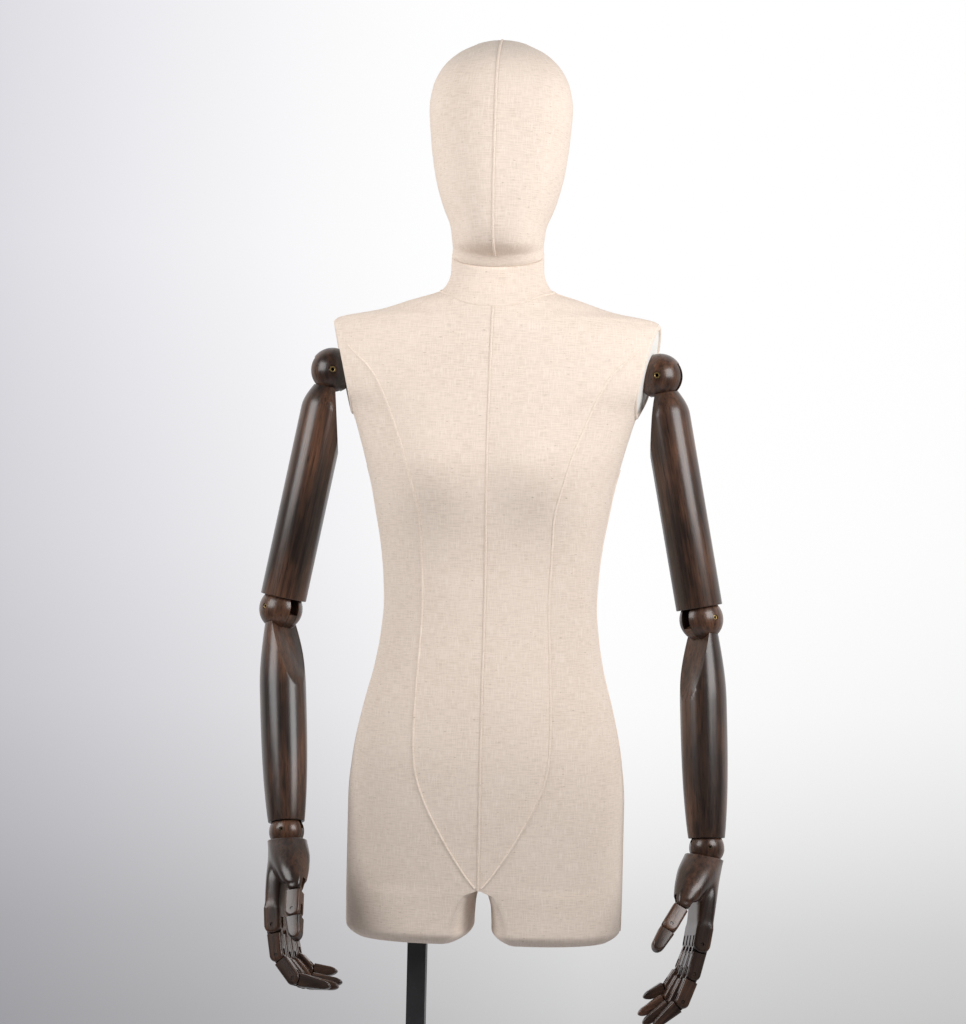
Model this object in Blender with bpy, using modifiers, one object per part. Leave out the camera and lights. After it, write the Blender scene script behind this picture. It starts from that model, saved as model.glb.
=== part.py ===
"""Articulated torso mannequin: a linen torso and head on a pole stand, with jointed wooden arms.

Metres, Z up, the figure faces -Y. The origin is the middle of the base plate's underside.
An arm is drawn once, for the figure's left side (+X), and mirrored for its right.
"""
import math

import bmesh
import bpy
from mathutils import Matrix

# Fits
CLEAR = 0.0003          # gap between pieces that seat on or turn in each other
FOLD_GAP = 0.0006       # gap between a finger's shoulder and the knuckle it folds round
FAN_STEP = 0.001        # how far a tenon's fan stays under the ball that it fills
FAN_MARGIN = 2.0        # degrees of slot past a tenon at each end of its travel
SIDES = 16              # facets round a turned piece
ROD_SIDES = 10          # facets round a pin, a stud or a bore
PIN_SIDES = 6           # facets round a finger pin

# Stand
BASE_SIDE = 0.350
BASE_CORNER = 0.040
BASE_THICK = 0.008
BASE_TO_THIGHS = 0.704  # clear height of the pole
POLE_SIDE = 0.022
POLE_WALL = 0.002
POLE_X = -0.078         # the pole stands in the figure's right thigh
POLE_Y = 0.005
POLE_REACH = 0.110      # length of pole inside the thigh block
COLLAR_WALL = 0.004
COLLAR_HEIGHT = 0.045
BLOCK_RADIUS = 0.040
BLOCK_CAP = 0.020

# Torso and head
WALL = 0.008            # moulded shell under the linen
ARM_BOARD = 0.012       # flat board behind each armhole
THIGH_FILLET = 0.014
BUST = 0.016            # swell of each breast, its place and its spread
BUST_X = 0.070
BUST_RISE = 0.548
BUST_SPREAD = 0.055
SEAT = 0.012            # swell of each buttock, its place and its spread
SEAT_X = 0.075
SEAT_RISE = 0.155
SEAT_SPREAD = 0.075
NECK_RADIUS = 0.055
NECK_Y = 0.015
NECK_TILT = 21.5        # the seam between head and neck slopes down to the front
NECK_HOLE = 0.040
PLUG_THICK = 0.012
SPIGOT_RADIUS = 0.012
SPIGOT_LENGTH = 0.045

# Shoulder
ARMHOLE_X = 0.182
ARMHOLE_Y = 0.006
ARMHOLE_DROP = 0.058    # armhole centre below the shoulder's tip
BOARD_BELOW = 0.093     # reach of the armhole's flat below its centre
ARMHOLE_TILT = 12.0     # the board leans in towards the waist
ARMHOLE_TURN = 8.0      # and faces slightly forward
SLEEVE_RADIUS = 0.013
SLEEVE_LENGTH = 0.032
FLANGE_RADIUS = 0.024
FLANGE_THICK = 0.004
STUD_RADIUS = 0.005
SHOULDER_BALL = 0.027
SHOULDER_FLOOR = 0.0045  # wood between the slot and the armhole board
SHOULDER_TONGUE = 0.016
SHOULDER_ROUND = 0.009
SHOULDER_PIN = 0.004
SHOULDER_FAN = (25.0, 45.0)  # degrees of the tenon's fan towards the ribs and away from them
RAISE_LIMITS = (18.0, 90.0)  # degrees of the upper arm from the armhole board

# Upper arm and elbow
UPPER_LENGTH = 0.292    # shoulder pin to elbow centre
UPPER_RADIUS = 0.0275
UPPER_NECK = 0.018      # radius where the arm cups the shoulder ball
UPPER_SWELL = 0.050     # shoulder pin to the arm's full thickness
UPPER_FLAT = 0.009      # wood left beside the ball by the flat towards the ribs
UPPER_FLAT_END = 0.096  # shoulder pin to where the flat runs out
ELBOW_BALL = 0.026
ELBOW_RIM = 0.014       # arm's end above the elbow centre
ELBOW_TONGUE = 0.012
ELBOW_ROUND = 0.010
ELBOW_PIN = 0.003
ELBOW_STUD = 0.030      # length of stud inside the upper arm
ELBOW_FAN = (60.0, 115.0)  # degrees of the tenon's fan towards the bend and behind it
ELBOW_LIMIT = 86.0      # degrees of bend

# Forearm and wrist
FOREARM_LENGTH = 0.268  # elbow centre to wrist centre
FOREARM_NECK = 0.0195
FOREARM_RADIUS = 0.0275
FOREARM_SWELL = 0.098   # elbow centre to the thickest place, where the flat runs out
FOREARM_WRIST = 0.0215
FOREARM_FLAT = 0.007    # wood left beside the ball by the flat on the bending side
FOREARM_TAPER = 3.0     # power of the taper to the wrist
WRIST_FAN = (95.0, 95.0)
WRIST_LIMITS = (35.0, 40.0)  # degrees of bend to the back of the hand and to the palm
WRIST_BALL = 0.0205
WRIST_RIM = 0.011
WRIST_TONGUE = 0.010
WRIST_ROUND = 0.008
WRIST_PIN = 0.0025
WRIST_STUD_RADIUS = 0.004
WRIST_STUD = 0.028

# Hand
PALM_LENGTH = 0.112     # wrist centre to the knuckle pins
PALM_THICK = 0.020      # at the knuckles
PALM_OFFSET = 0.0085    # knuckle pins from the wrist's middle, towards the back of the hand
FINGER_WIDTH = 0.017
FINGER_GAP = 0.0015
FINGER_THICK = 0.016
FINGER_TONGUE = 0.006
FINGER_PIN = 0.00175
FINGER_EDGE = 0.003     # rounding of a finger's edges
TONGUE_STEP = 0.0015    # how much a tongue's end is smaller than the knuckle round it
THUMB_WIDTH = 0.018
THUMB_LENGTHS = (0.033, 0.036)
THUMB_X = -0.023        # thumb pin from the wrist centre
THUMB_Y = -0.042
THUMB_DROP = 0.070
THUMB_SPLAY = 18.0      # the thumb stands away from the index finger
THUMB_STEP = 0.003      # end of the thumb's mound above the thumb pin
FINGER_TAPER = 0.5      # share that a fingertip narrows by
THUMB_TAPER = 0.25

FINGERS = {
    # name: (place across the palm, lengths of the three segments)
    "index": (-1.5, (0.035, 0.034, 0.044)),
    "middle": (-0.5, (0.037, 0.035, 0.044)),
    "ring": (0.5, (0.035, 0.033, 0.042)),
    "little": (1.5, (0.028, 0.027, 0.034)),
}
SEGMENT_NAMES = ("proximal", "middle", "distal")

# Photographed pose, in degrees: raise from the armhole board, elbow turn and bend, wrist turn and bend,
# thumb, and each finger's three folds
POSE = {
    "left": {
        "raise": 23.0, "elbow_turn": 50.0, "elbow_bend": 11.0, "wrist_turn": -30.0, "wrist_bend": 12.0,
        "thumb": (22.0, 0.0),
        "index": (5.0, 7.0, 26.0), "middle": (8.0, 9.0, 28.0),
        "ring": (10.0, 11.0, 30.0), "little": (12.0, 12.0, 32.0),
    },
    "right": {
        "raise": 22.9, "elbow_turn": 50.0, "elbow_bend": 21.0, "wrist_turn": -30.0, "wrist_bend": 0.0,
        "thumb": (2.0, 6.0),
        "index": (6.0, 29.0, 39.0), "middle": (7.0, 31.0, 40.0),
        "ring": (8.0, 32.0, 41.0), "little": (9.0, 33.0, 42.0),
    },
}

# Section at the neck seam in millimetres: half width, depth to the front and to the back
MM = 0.001
NECK = (NECK_RADIUS / MM, (NECK_RADIUS - NECK_Y) / MM, (NECK_RADIUS + NECK_Y) / MM)

# Torso sections in millimetres, from the neck seam down to the crotch:
# height over the thighs' ends, half width, depth to the front and to the back, squareness, slope in degrees
TORSO = (
    (814, *NECK, 2.0, NECK_TILT),
    (793, 55.5, 41, 71, 2.0, 14),
    (780, 59, 45, 74, 2.0, 10),
    (768, 68, 50, 79, 1.9, 7),
    (757, 102, 55, 82, 1.6, 4),
    (745, 137, 60, 84, 1.5, 2),
    (733, 190, 66, 86, 1.45, 0),
    (721, 203, 71, 88, 1.7, 0),
    (698, 210, 78, 89, 1.9, 0),
    (673, 207, 84, 89, 2.0, 0),
    (648, 193, 90, 88, 2.1, 0),
    (626, 172, 94, 87, 2.2, 0),
    (590, 159.5, 98, 86, 2.2, 0),
    (563, 152, 100, 85, 2.2, 0),
    (537, 145, 98, 83, 2.2, 0),
    (501, 138, 93, 80, 2.2, 0),
    (465, 131.5, 88, 78, 2.2, 0),
    (428, 127.5, 85, 77, 2.2, 0),
    (394, 126, 85, 79, 2.2, 0),
    (358, 129, 87, 86, 2.2, 0),
    (322, 135, 91, 94, 2.2, 0),
    (269, 148.5, 96, 104, 2.3, 0),
    (215, 159, 98, 109, 2.4, 0),
    (162, 163.5, 96, 109, 2.4, 0),
    (108, 163.5, 92, 106, 2.4, 0),
    (54, 163.5, 88, 102, 2.4, 0),
)
SHOULDER_TIP = 731      # height of the shoulder's tip, millimetres over the thighs' ends

# Thigh sections: height, half of the gap between the thighs, half width, front, back, roundness
THIGH = (
    (48, 5, 163.5, 87, 101, 0.15),
    (34, 10, 163.3, 86, 98, 0.24),
    (20, 11, 163.0, 85, 96, 0.32),
)
FILLET_ROWS = (1.0, 0.3, 0.0)  # heights of the rows round a thigh's lower edge, as shares of its fillet

# Head sections in millimetres, from the neck seam up: height, half width, front, back, slope
HEAD = (
    (8, 54, 47, 69, 16),
    (18, 55, 80, 70, 9),
    (30, 57, 92, 72, 4),
    (50, 65.5, 97, 78, 0),
    (74, 73, 99, 86, 0),
    (97, 78, 98, 94, 0),
    (133, 82.7, 95, 102, 0),
    (169, 85.3, 92, 104, 0),
    (193, 82, 86, 100, 0),
    (216, 71.4, 72, 86, 0),
    (234, 53, 50, 65, 0),
    (246, 30, 26, 40, 0),
)
HEAD_TOP = (8, 252)     # crown's place to the back and its height

# Palm sections as shares: way from the wrist to the knuckles, place towards the knuckle pins, half thickness
# and half width (of the wrist's radius in the first, of the palm's own sizes in the others), squareness
PALM_WRIST = ((0.0, 0.0, 1.0, 1.0, 2.2),)
PALM_BODY = (
    (0.25, 0.15, 1.92, 0.76, 2.5),
    (0.6, 0.75, 1.25, 0.96, 4.0),
    (1.0, 1.0, 0.96, 0.985, 9.0),
)
PALM_SIDES = 20

# Thumb's mound as shares: way from the wrist to the thumb, place towards the thumb, half thickness and half
# width of the wrist's radius
MOUND = (
    (0.0, 0.05, 1.05, 1.05),
    (0.3, 0.30, 1.08, 1.10),
    (0.65, 0.60, 0.92, 1.00),
    (1.0, 0.90, 0.64, 0.68),
)
MOUND_POWER = 2.3
MOUND_SIDES = 12
COMB_ROOT = 0.026       # knuckle pins to the comb's upper end inside the palm

# Worked out from the sizes above
FLIP = Matrix.Scale(-1.0, 4, (1.0, 0.0, 0.0))
FAR = 0.25              # reach of a cutter past what it cuts
THIGH_Z = BASE_THICK + BASE_TO_THIGHS
NECK_Z = THIGH_Z + TORSO[0][0] * MM
ARMHOLE_Z = THIGH_Z + SHOULDER_TIP * MM - ARMHOLE_DROP
SHOULDER_PIN_X = CLEAR + SHOULDER_FLOOR + CLEAR + SHOULDER_ROUND
FINGER_PITCH = FINGER_WIDTH + FINGER_GAP
FINGER_ROUND = FINGER_THICK / 2
THUMB_ROUND = THUMB_WIDTH / 2
PALM_ROUND = PALM_THICK / 2


def bore(radius, sides=ROD_SIDES):
    """Radius of a faceted hole that clears a faceted pin at every angle."""
    return (radius + CLEAR) / math.cos(math.pi / sides)


def seat(radius):
    """Radius of a faceted cup that clears a faceted ball at every angle."""
    return (radius + CLEAR) / math.cos(math.pi / SIDES) ** 2


def turn(axis, degrees):
    return Matrix.Rotation(math.radians(degrees), 4, axis)


def shift(x=0.0, y=0.0, z=0.0):
    return Matrix.Translation((x, y, z))


def clear_scene():
    for item in list(bpy.data.objects):
        bpy.data.objects.remove(item, do_unlink=True)


def collection(name):
    made = bpy.data.collections.new(name)
    bpy.context.scene.collection.children.link(made)
    return made


def finish(name, colour, roughness, metallic=0.0):
    made = bpy.data.materials.new(name)
    made.use_nodes = True
    surface = made.node_tree.nodes["Principled BSDF"]
    surface.inputs["Base Color"].default_value = (*colour, 1.0)
    surface.inputs["Roughness"].default_value = roughness
    surface.inputs["Metallic"].default_value = metallic
    return made


def helper(data):
    """Hidden working object for a cut, a join or a modifier."""
    item = bpy.data.objects.new("helper", data)
    cutters.objects.link(item)
    item.hide_render = True
    item.display_type = "WIRE"
    return item


def baked(item):
    """Mesh of a working object with its modifiers applied, welded and facing out."""
    graph = bpy.context.evaluated_depsgraph_get()
    mesh = bpy.data.meshes.new_from_object(item.evaluated_get(graph))
    bpy.data.objects.remove(item, do_unlink=True)
    work = bmesh.new()
    work.from_mesh(mesh)
    bmesh.ops.remove_doubles(work, verts=work.verts[:], dist=1e-6)
    bmesh.ops.recalc_face_normals(work, faces=work.faces[:])
    work.to_mesh(mesh)
    work.free()
    return mesh


def mesh_of(work):
    bmesh.ops.recalc_face_normals(work, faces=work.faces[:])
    mesh = bpy.data.meshes.new("shape")
    work.to_mesh(mesh)
    work.free()
    return mesh


def combined(mesh, operation, others):
    item = helper(mesh)
    tools = [helper(other) for other in others]
    for tool in tools:
        step = item.modifiers.new(operation, "BOOLEAN")
        step.operation = operation
        step.object = tool
    result = baked(item)
    for tool in tools:
        bpy.data.objects.remove(tool, do_unlink=True)
    return result


def cut(mesh, *others):
    return combined(mesh, "DIFFERENCE", others)


def join(mesh, *others):
    return combined(mesh, "UNION", others)


def moved(mesh, matrix):
    mesh.transform(matrix)
    return mesh


def box(low, high):
    work = bmesh.new()
    bmesh.ops.create_cube(work, size=1.0)
    size = [b - a for a, b in zip(low, high)]
    middle = [(a + b) / 2 for a, b in zip(low, high)]
    bmesh.ops.transform(work, matrix=Matrix.LocRotScale(middle, None, size), verts=work.verts[:])
    return mesh_of(work)


def ball(radius, sides=SIDES):
    work = bmesh.new()
    bmesh.ops.create_uvsphere(work, u_segments=sides, v_segments=sides // 2, radius=radius)
    return mesh_of(work)


def rod(radius, low, high, axis="Z", sides=ROD_SIDES):
    """Round bar along an axis, from low to high on it."""
    work = bmesh.new()
    ends = {"radius1": radius, "radius2": radius, "cap_ends": True}
    bmesh.ops.create_cone(work, segments=sides, depth=high - low, **ends)
    mesh = moved(mesh_of(work), shift(z=(low + high) / 2))
    return moved(mesh, {"X": turn("Y", 90), "Y": turn("X", -90), "Z": Matrix()}[axis])


def turned(profile, sides=SIDES):
    """Solid of revolution about Z from (radius, height) points, run down its outer side."""
    mesh = bpy.data.meshes.new("profile")
    points = [(radius, 0.0, height) for radius, height in profile]
    mesh.from_pydata(points, [(i, i + 1) for i in range(len(points) - 1)], [])
    item = helper(mesh)
    sweep = item.modifiers.new("sweep", "SCREW")
    sweep.steps = sides
    sweep.render_steps = sides
    sweep.use_merge_vertices = True
    sweep.merge_threshold = 1e-6
    return baked(item)


def slab(outline, thick, edge=0.0):
    """Flat outline of (x, z) points with a thickness along Y, its sharp edges rounded off."""
    curve = bpy.data.curves.new("outline", "CURVE")
    curve.dimensions = "2D"
    curve.fill_mode = "BOTH"
    curve.extrude = thick / 2
    spline = curve.splines.new("POLY")
    spline.points.add(len(outline) - 1)
    for point, (x, z) in zip(spline.points, outline):
        point.co = (x, z, 0.0, 1.0)
    spline.use_cyclic_u = True
    work = bmesh.new()
    work.from_mesh(baked(helper(curve)))
    bmesh.ops.dissolve_limit(work, angle_limit=0.01, verts=work.verts[:], edges=work.edges[:])
    if edge:
        sharp = [e for e in work.edges if e.calc_face_angle(0.0) > math.radians(50)]
        bmesh.ops.bevel(work, geom=sharp, offset=edge, segments=1, affect="EDGES", profile=0.5)
    return moved(mesh_of(work), turn("X", 90))


def arc(radius, start, end, steps, centre=(0.0, 0.0)):
    """Points of an arc, in degrees, as (x, z)."""
    angles = [math.radians(start + (end - start) * i / steps) for i in range(steps + 1)]
    return [(centre[0] + radius * math.cos(a), centre[1] + radius * math.sin(a)) for a in angles]


def tongue(radius, root, thick):
    """Flat tenon round a pin at the origin, running down to its root at height -root."""
    outline = arc(radius, 0, 180, 4) + [(-radius, -root), (radius, -root)]
    return slab(outline, thick)


def fan(hub, reach, spread, root, half_root, thick):
    """Flat tenon that turns in a slotted ball: a hub round the pin, a fan to each side and a root."""
    behind, ahead = spread
    middle = math.degrees(math.asin(half_root / reach))
    outline = arc(hub, -90 + ahead, 270 - behind, 6)
    outline += arc(reach, -90 - behind, -90 - middle, 2 + round(behind / 30))
    outline += [(-half_root, -root), (half_root, -root)]
    outline += arc(reach, -90 + middle, -90 + ahead, 2 + round(ahead / 30))
    return slab(outline, thick)


def fan_slot(hub, behind, ahead, thick):
    """Room for a fan tenon over its travel: its hub, and all between two angles from straight down."""
    steps = 12
    facet = math.radians(360 - behind - ahead) / steps
    outline = arc((hub + CLEAR) / math.cos(facet / 2), -90 + ahead, 270 - behind, steps)
    outline += arc(FAR, -90 - behind, -90 + ahead, 8)
    return slab(outline, thick + 2 * CLEAR)


def flat(left, cup, radius, reach):
    """Cutter for a flat on a bar's -X side, from beside the ball that the bar cups to where it runs out."""
    near = -math.sqrt(cup ** 2 - left ** 2)
    lean = math.degrees(math.atan2(radius - left, reach + near))
    return moved(box((-FAR, -FAR, -FAR), (0.0, FAR, FAR)), shift(-left, 0.0, near) @ turn("Y", lean))


def swelling(neck, top, radius, low):
    """Profile of a bar that rounds out from its neck to its full radius."""
    made = []
    for share in (0.0, 0.25, 0.5, 0.75, 1.0):
        made.append((neck + (radius - neck) * math.sin(share * math.pi / 2), top + (low - top) * share))
    return made


def skin(work, upper, lower, closed):
    """Faces between two rows of points."""
    last = len(upper) if closed else len(upper) - 1
    for i in range(last):
        j = (i + 1) % len(upper)
        work.faces.new((upper[i], upper[j], lower[j], lower[i]))


def signed_power(value, power):
    return math.copysign(abs(value) ** (2 / power), value)


def swell(x, z, place_x, place_z, spread):
    """Soft bump that fades out round a place on each side of the body."""
    return math.exp(-((abs(x) - place_x) ** 2 + (z - place_z) ** 2) / spread ** 2)


def body_point(angle, section, inset):
    """Point of a half torso section: -90 degrees is the front middle, 0 the side, 90 the back middle."""
    height, width, front, back, power, slope = section
    depth = (front if angle < 0 else back) * MM - inset
    x = (width * MM - inset) * signed_power(math.cos(math.radians(angle)), power)
    share = signed_power(math.sin(math.radians(angle)), power)
    rise = height * MM
    y = depth * share
    if share < 0:
        y += BUST * share * swell(x, rise, BUST_X, BUST_RISE, BUST_SPREAD)
    else:
        y += SEAT * share * swell(x, rise, SEAT_X, SEAT_RISE, SEAT_SPREAD)
    return x, y, rise + (y - NECK_Y) * math.tan(math.radians(slope))


def thigh_point(angle, section, inset):
    """Point of a thigh's section: from the front at -90 round the outside to 90, then along the inside."""
    height, gap, width, front, back, roundness = section
    inner = gap * MM + inset
    outer = width * MM - inset
    cosine = math.cos(math.radians(angle))
    sine = math.sin(math.radians(angle))
    depth = (front if sine < 0 else back) * MM - inset
    power = TORSO[-1][4]
    flat_x = inner + (outer - inner) * signed_power(max(cosine, 0.0), power)
    round_x = (outer + inner) / 2 + (outer - inner) / 2 * cosine
    flat_y = depth * (signed_power(sine, power) if angle <= 90 else sine)
    x = flat_x + (round_x - flat_x) * roundness
    y = flat_y + (depth * sine - flat_y) * roundness
    return x, y, height * MM


def body_solid(inset, around, sections):
    """Torso and thighs as one closed mesh through the sections, drawn in all round by inset."""
    top = TORSO[0][0] * MM
    squeeze = 1.0 - 2 * inset / top

    def level(point):
        x, y, rise = point
        return x, y, THIGH_Z + inset + rise * squeeze

    inside = around // 2
    outer_angles = [-90 + 180 * i / around for i in range(around + 1)]
    inner_angles = [90 + 180 * i / inside for i in range(1, inside)]
    work = bmesh.new()
    rows = []
    for section in sections:
        rows.append([work.verts.new(level(body_point(angle, section, inset))) for angle in outer_angles])
    for upper, lower in zip(rows, rows[1:]):
        skin(work, upper, lower, closed=False)
    work.faces.new(rows[0])
    back_middle = rows[-1][-1].co
    front_middle = rows[-1][0].co
    crotch = []
    for angle in inner_angles:
        sine = math.sin(math.radians(angle))
        y = back_middle.y * sine if sine > 0 else -front_middle.y * sine
        crotch.append(work.verts.new((0.0, y, back_middle.z)))
    loop = rows[-1] + crotch
    rings = [(section, inset) for section in THIGH]
    for lift in FILLET_ROWS:
        draw = THIGH_FILLET * (1.0 - lift) ** 2
        rings.append(((lift * THIGH_FILLET / MM, *THIGH[-1][1:]), inset + draw))
    for section, drawn in rings:
        ring = [work.verts.new(level(thigh_point(a, section, drawn))) for a in outer_angles + inner_angles]
        skin(work, loop, ring, closed=True)
        loop = ring
    work.faces.new(loop)
    everything = work.verts[:] + work.edges[:] + work.faces[:]
    bmesh.ops.mirror(work, geom=everything, matrix=Matrix(), merge_dist=1e-6, axis="X")
    return mesh_of(work)


def armhole_frame():
    """Frame of the left armhole: X out of the board, Z up it."""
    return shift(ARMHOLE_X, ARMHOLE_Y, ARMHOLE_Z) @ turn("Z", -ARMHOLE_TURN) @ turn("Y", ARMHOLE_TILT)


def sided(matrix, side):
    """Frame for a side: as drawn on the left, mirrored on the right."""
    return matrix if side == "left" else FLIP @ matrix @ FLIP


def neck_frame():
    """Frame of the neck seam: Z is the axis that the head turns on."""
    return shift(0.0, NECK_Y, NECK_Z) @ turn("X", NECK_TILT)


def torso_shell():
    """Hollow moulded torso with flat armholes, an open neck and a hole for the pole."""
    cavity = body_solid(WALL, 6, TORSO[::3] + TORSO[-1:])
    outside = body_solid(0.0, 12, TORSO)
    for side in POSE:
        frame = sided(armhole_frame(), side)
        for_board = box((0.0, -FAR, -BOARD_BELOW), (FAR, FAR, FAR))
        for_cavity = box((-ARM_BOARD, -FAR, -BOARD_BELOW), (FAR, FAR, FAR))
        if side == "right":
            for mesh in (for_board, for_cavity):
                moved(mesh, FLIP)
                mesh.flip_normals()
        cavity = cut(cavity, moved(for_cavity, frame))
        outside = cut(outside, moved(for_board, frame))
    neck = moved(rod(NECK_HOLE, -FAR / 4, FAR / 4, "Z", SIDES), neck_frame())
    holes = [moved(rod(bore(SLEEVE_RADIUS), -FAR / 4, FAR / 4, "X"), sided(armhole_frame(), s)) for s in POSE]
    half = POLE_SIDE / 2 + CLEAR
    pole = box((POLE_X - half, POLE_Y - half, 0.0), (POLE_X + half, POLE_Y + half, THIGH_Z + 3 * WALL))
    return cut(outside, cavity, neck, pole, *holes)


def head():
    """Smooth egg head with a plain face, cut off at the neck seam, with a hole for the spigot."""
    work = bmesh.new()
    rows = []
    for height, width, front, back, slope in ((0, *NECK, NECK_TILT), *HEAD):
        row = []
        for i in range(SIDES):
            angle = 2 * math.pi * i / SIDES
            y = (back if math.sin(angle) > 0 else front) * math.sin(angle)
            z = height + (y - NECK_Y / MM) * math.tan(math.radians(slope))
            row.append(work.verts.new((width * MM * math.cos(angle), y * MM, NECK_Z + CLEAR + z * MM)))
        rows.append(row)
    for lower, upper in zip(rows, rows[1:]):
        skin(work, lower, upper, closed=True)
    work.faces.new(rows[0])
    crown = work.verts.new((0.0, HEAD_TOP[0] * MM, NECK_Z + HEAD_TOP[1] * MM))
    for i, point in enumerate(rows[-1]):
        work.faces.new((point, rows[-1][(i + 1) % len(rows[-1])], crown))
    hole = moved(rod(bore(SPIGOT_RADIUS), -SPIGOT_LENGTH, SPIGOT_LENGTH + CLEAR), neck_frame())
    return cut(mesh_of(work), hole)


def neck_plug():
    """Wooden disc in the open neck, with the spigot that the head turns on."""
    rim = NECK_HOLE * math.cos(math.pi / SIDES) - CLEAR
    return turned([
        (0.0, SPIGOT_LENGTH), (SPIGOT_RADIUS, SPIGOT_LENGTH), (SPIGOT_RADIUS, 0.0),
        (rim, 0.0), (rim, -PLUG_THICK), (0.0, -PLUG_THICK),
    ])


def base_plate():
    half = BASE_SIDE / 2
    inner = half - BASE_CORNER
    outline = []
    for start, (x, y) in zip((0, 90, 180, 270), ((1, 1), (-1, 1), (-1, -1), (1, -1))):
        outline += arc(BASE_CORNER, start, start + 90, 5, (x * inner, y * inner))
    plate = slab(outline, BASE_THICK)
    return moved(plate, shift(z=BASE_THICK / 2) @ turn("X", 90))


def square_tube(inside, wall, low, high):
    reach = inside / 2
    outer = reach + wall
    tube = box((-outer, -outer, low), (outer, outer, high))
    hollow = box((-reach, -reach, low - FAR), (reach, reach, high + FAR))
    return moved(cut(tube, hollow), shift(POLE_X, POLE_Y))


def pole_collar():
    """Square sleeve on the base plate that the pole stands in."""
    return square_tube(POLE_SIDE + 2 * CLEAR, COLLAR_WALL, BASE_THICK + CLEAR, BASE_THICK + COLLAR_HEIGHT)


def pole():
    top = THIGH_Z + WALL + POLE_REACH
    return square_tube(POLE_SIDE - 2 * POLE_WALL, POLE_WALL, BASE_THICK + CLEAR, top)


def pole_block():
    """Round wooden block in the thigh, blind bored square for the pole's end."""
    low = THIGH_Z + WALL + CLEAR
    pocket = THIGH_Z + WALL + POLE_REACH + CLEAR
    half = POLE_SIDE / 2 + CLEAR
    block = rod(BLOCK_RADIUS, low, pocket + BLOCK_CAP, "Z", SIDES)
    hole = box((-half, -half, low - FAR), (half, half, pocket))
    return moved(cut(block, hole), shift(POLE_X, POLE_Y))


def shoulder_sleeve():
    """Flanged metal sleeve through the armhole board, in the armhole's frame."""
    back = -ARM_BOARD - CLEAR
    sleeve = turned([
        (0.0, -CLEAR), (SLEEVE_RADIUS, -CLEAR), (SLEEVE_RADIUS, back),
        (FLANGE_RADIUS, back), (FLANGE_RADIUS, back - FLANGE_THICK), (SLEEVE_RADIUS, back - FLANGE_THICK),
        (SLEEVE_RADIUS, -SLEEVE_LENGTH), (0.0, -SLEEVE_LENGTH),
    ], ROD_SIDES)
    sleeve = cut(sleeve, rod(bore(STUD_RADIUS), -FAR, FAR))
    return moved(sleeve, turn("Y", 90))


def shoulder_block():
    """Wooden ball flat against the armhole and slotted for the upper arm, in the armhole's frame."""
    low, high = RAISE_LIMITS
    behind, ahead = SHOULDER_FAN
    room = fan_slot(SHOULDER_ROUND, behind - low + FAN_MARGIN, ahead + high + FAN_MARGIN, SHOULDER_TONGUE)
    block = cut(ball(SHOULDER_BALL), room, rod(bore(SHOULDER_PIN), -FAR, FAR, "Y"))
    board = box((-FAR, -FAR, -FAR), (CLEAR, FAR, FAR))
    stud = rod(bore(STUD_RADIUS), -FAR, SHOULDER_FLOOR - STUD_RADIUS / 5, "X")
    return cut(moved(block, shift(SHOULDER_PIN_X)), board, stud)


def shoulder_stud():
    return rod(STUD_RADIUS, -SLEEVE_LENGTH, SHOULDER_FLOOR - STUD_RADIUS / 5 - CLEAR, "X")


def hollow_pin(radius, half_length):
    """Tube rivet along Y, dished at its ends."""
    dish = radius / 2
    pin = rod(radius, -half_length, half_length, "Y")
    front = rod(dish, -half_length - FAR, -half_length + radius, "Y", PIN_SIDES)
    back = rod(dish, half_length - radius, half_length + FAR, "Y", PIN_SIDES)
    return cut(pin, front, back)


def upper_arm():
    """Round bar cupped at both ends, with a fan tenon and a flat at its top, in the shoulder pin's frame."""
    cup = seat(SHOULDER_BALL)
    neck = -math.sqrt(cup ** 2 - UPPER_NECK ** 2)
    end = -UPPER_LENGTH + ELBOW_RIM
    profile = [(0.0, neck)] + swelling(UPPER_NECK, neck, UPPER_RADIUS, -UPPER_SWELL)
    profile += [(UPPER_RADIUS, end), (0.0, end)]
    facet = flat(UPPER_FLAT, cup, UPPER_RADIUS, UPPER_FLAT_END)
    elbow = moved(ball(seat(ELBOW_BALL)), shift(z=-UPPER_LENGTH))
    stud = rod(bore(STUD_RADIUS), -UPPER_LENGTH, -UPPER_LENGTH + ELBOW_BALL + ELBOW_STUD + CLEAR)
    body = cut(turned(profile), ball(cup), facet, elbow, stud)
    reach = SHOULDER_BALL - FAN_STEP
    half_root = UPPER_FLAT - FAN_STEP
    tenon = fan(SHOULDER_ROUND, reach, SHOULDER_FAN, cup + SHOULDER_ROUND, half_root, SHOULDER_TONGUE)
    return cut(join(body, tenon), rod(bore(SHOULDER_PIN), -FAR, FAR, "Y"))


def elbow_ball():
    """Ball slotted for the forearm's fan, bored for its pin and its stud, in the elbow's frame."""
    behind, ahead = ELBOW_FAN
    room = fan_slot(ELBOW_ROUND, behind + ELBOW_LIMIT + FAN_MARGIN, ahead + FAN_MARGIN, ELBOW_TONGUE)
    hole = rod(bore(STUD_RADIUS), ELBOW_ROUND + 4 * CLEAR, FAR)
    return cut(ball(ELBOW_BALL), hole, room, rod(bore(ELBOW_PIN), -FAR, FAR, "Y"))


def elbow_stud():
    return rod(STUD_RADIUS, ELBOW_ROUND + 5 * CLEAR, ELBOW_BALL + ELBOW_STUD)


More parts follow.
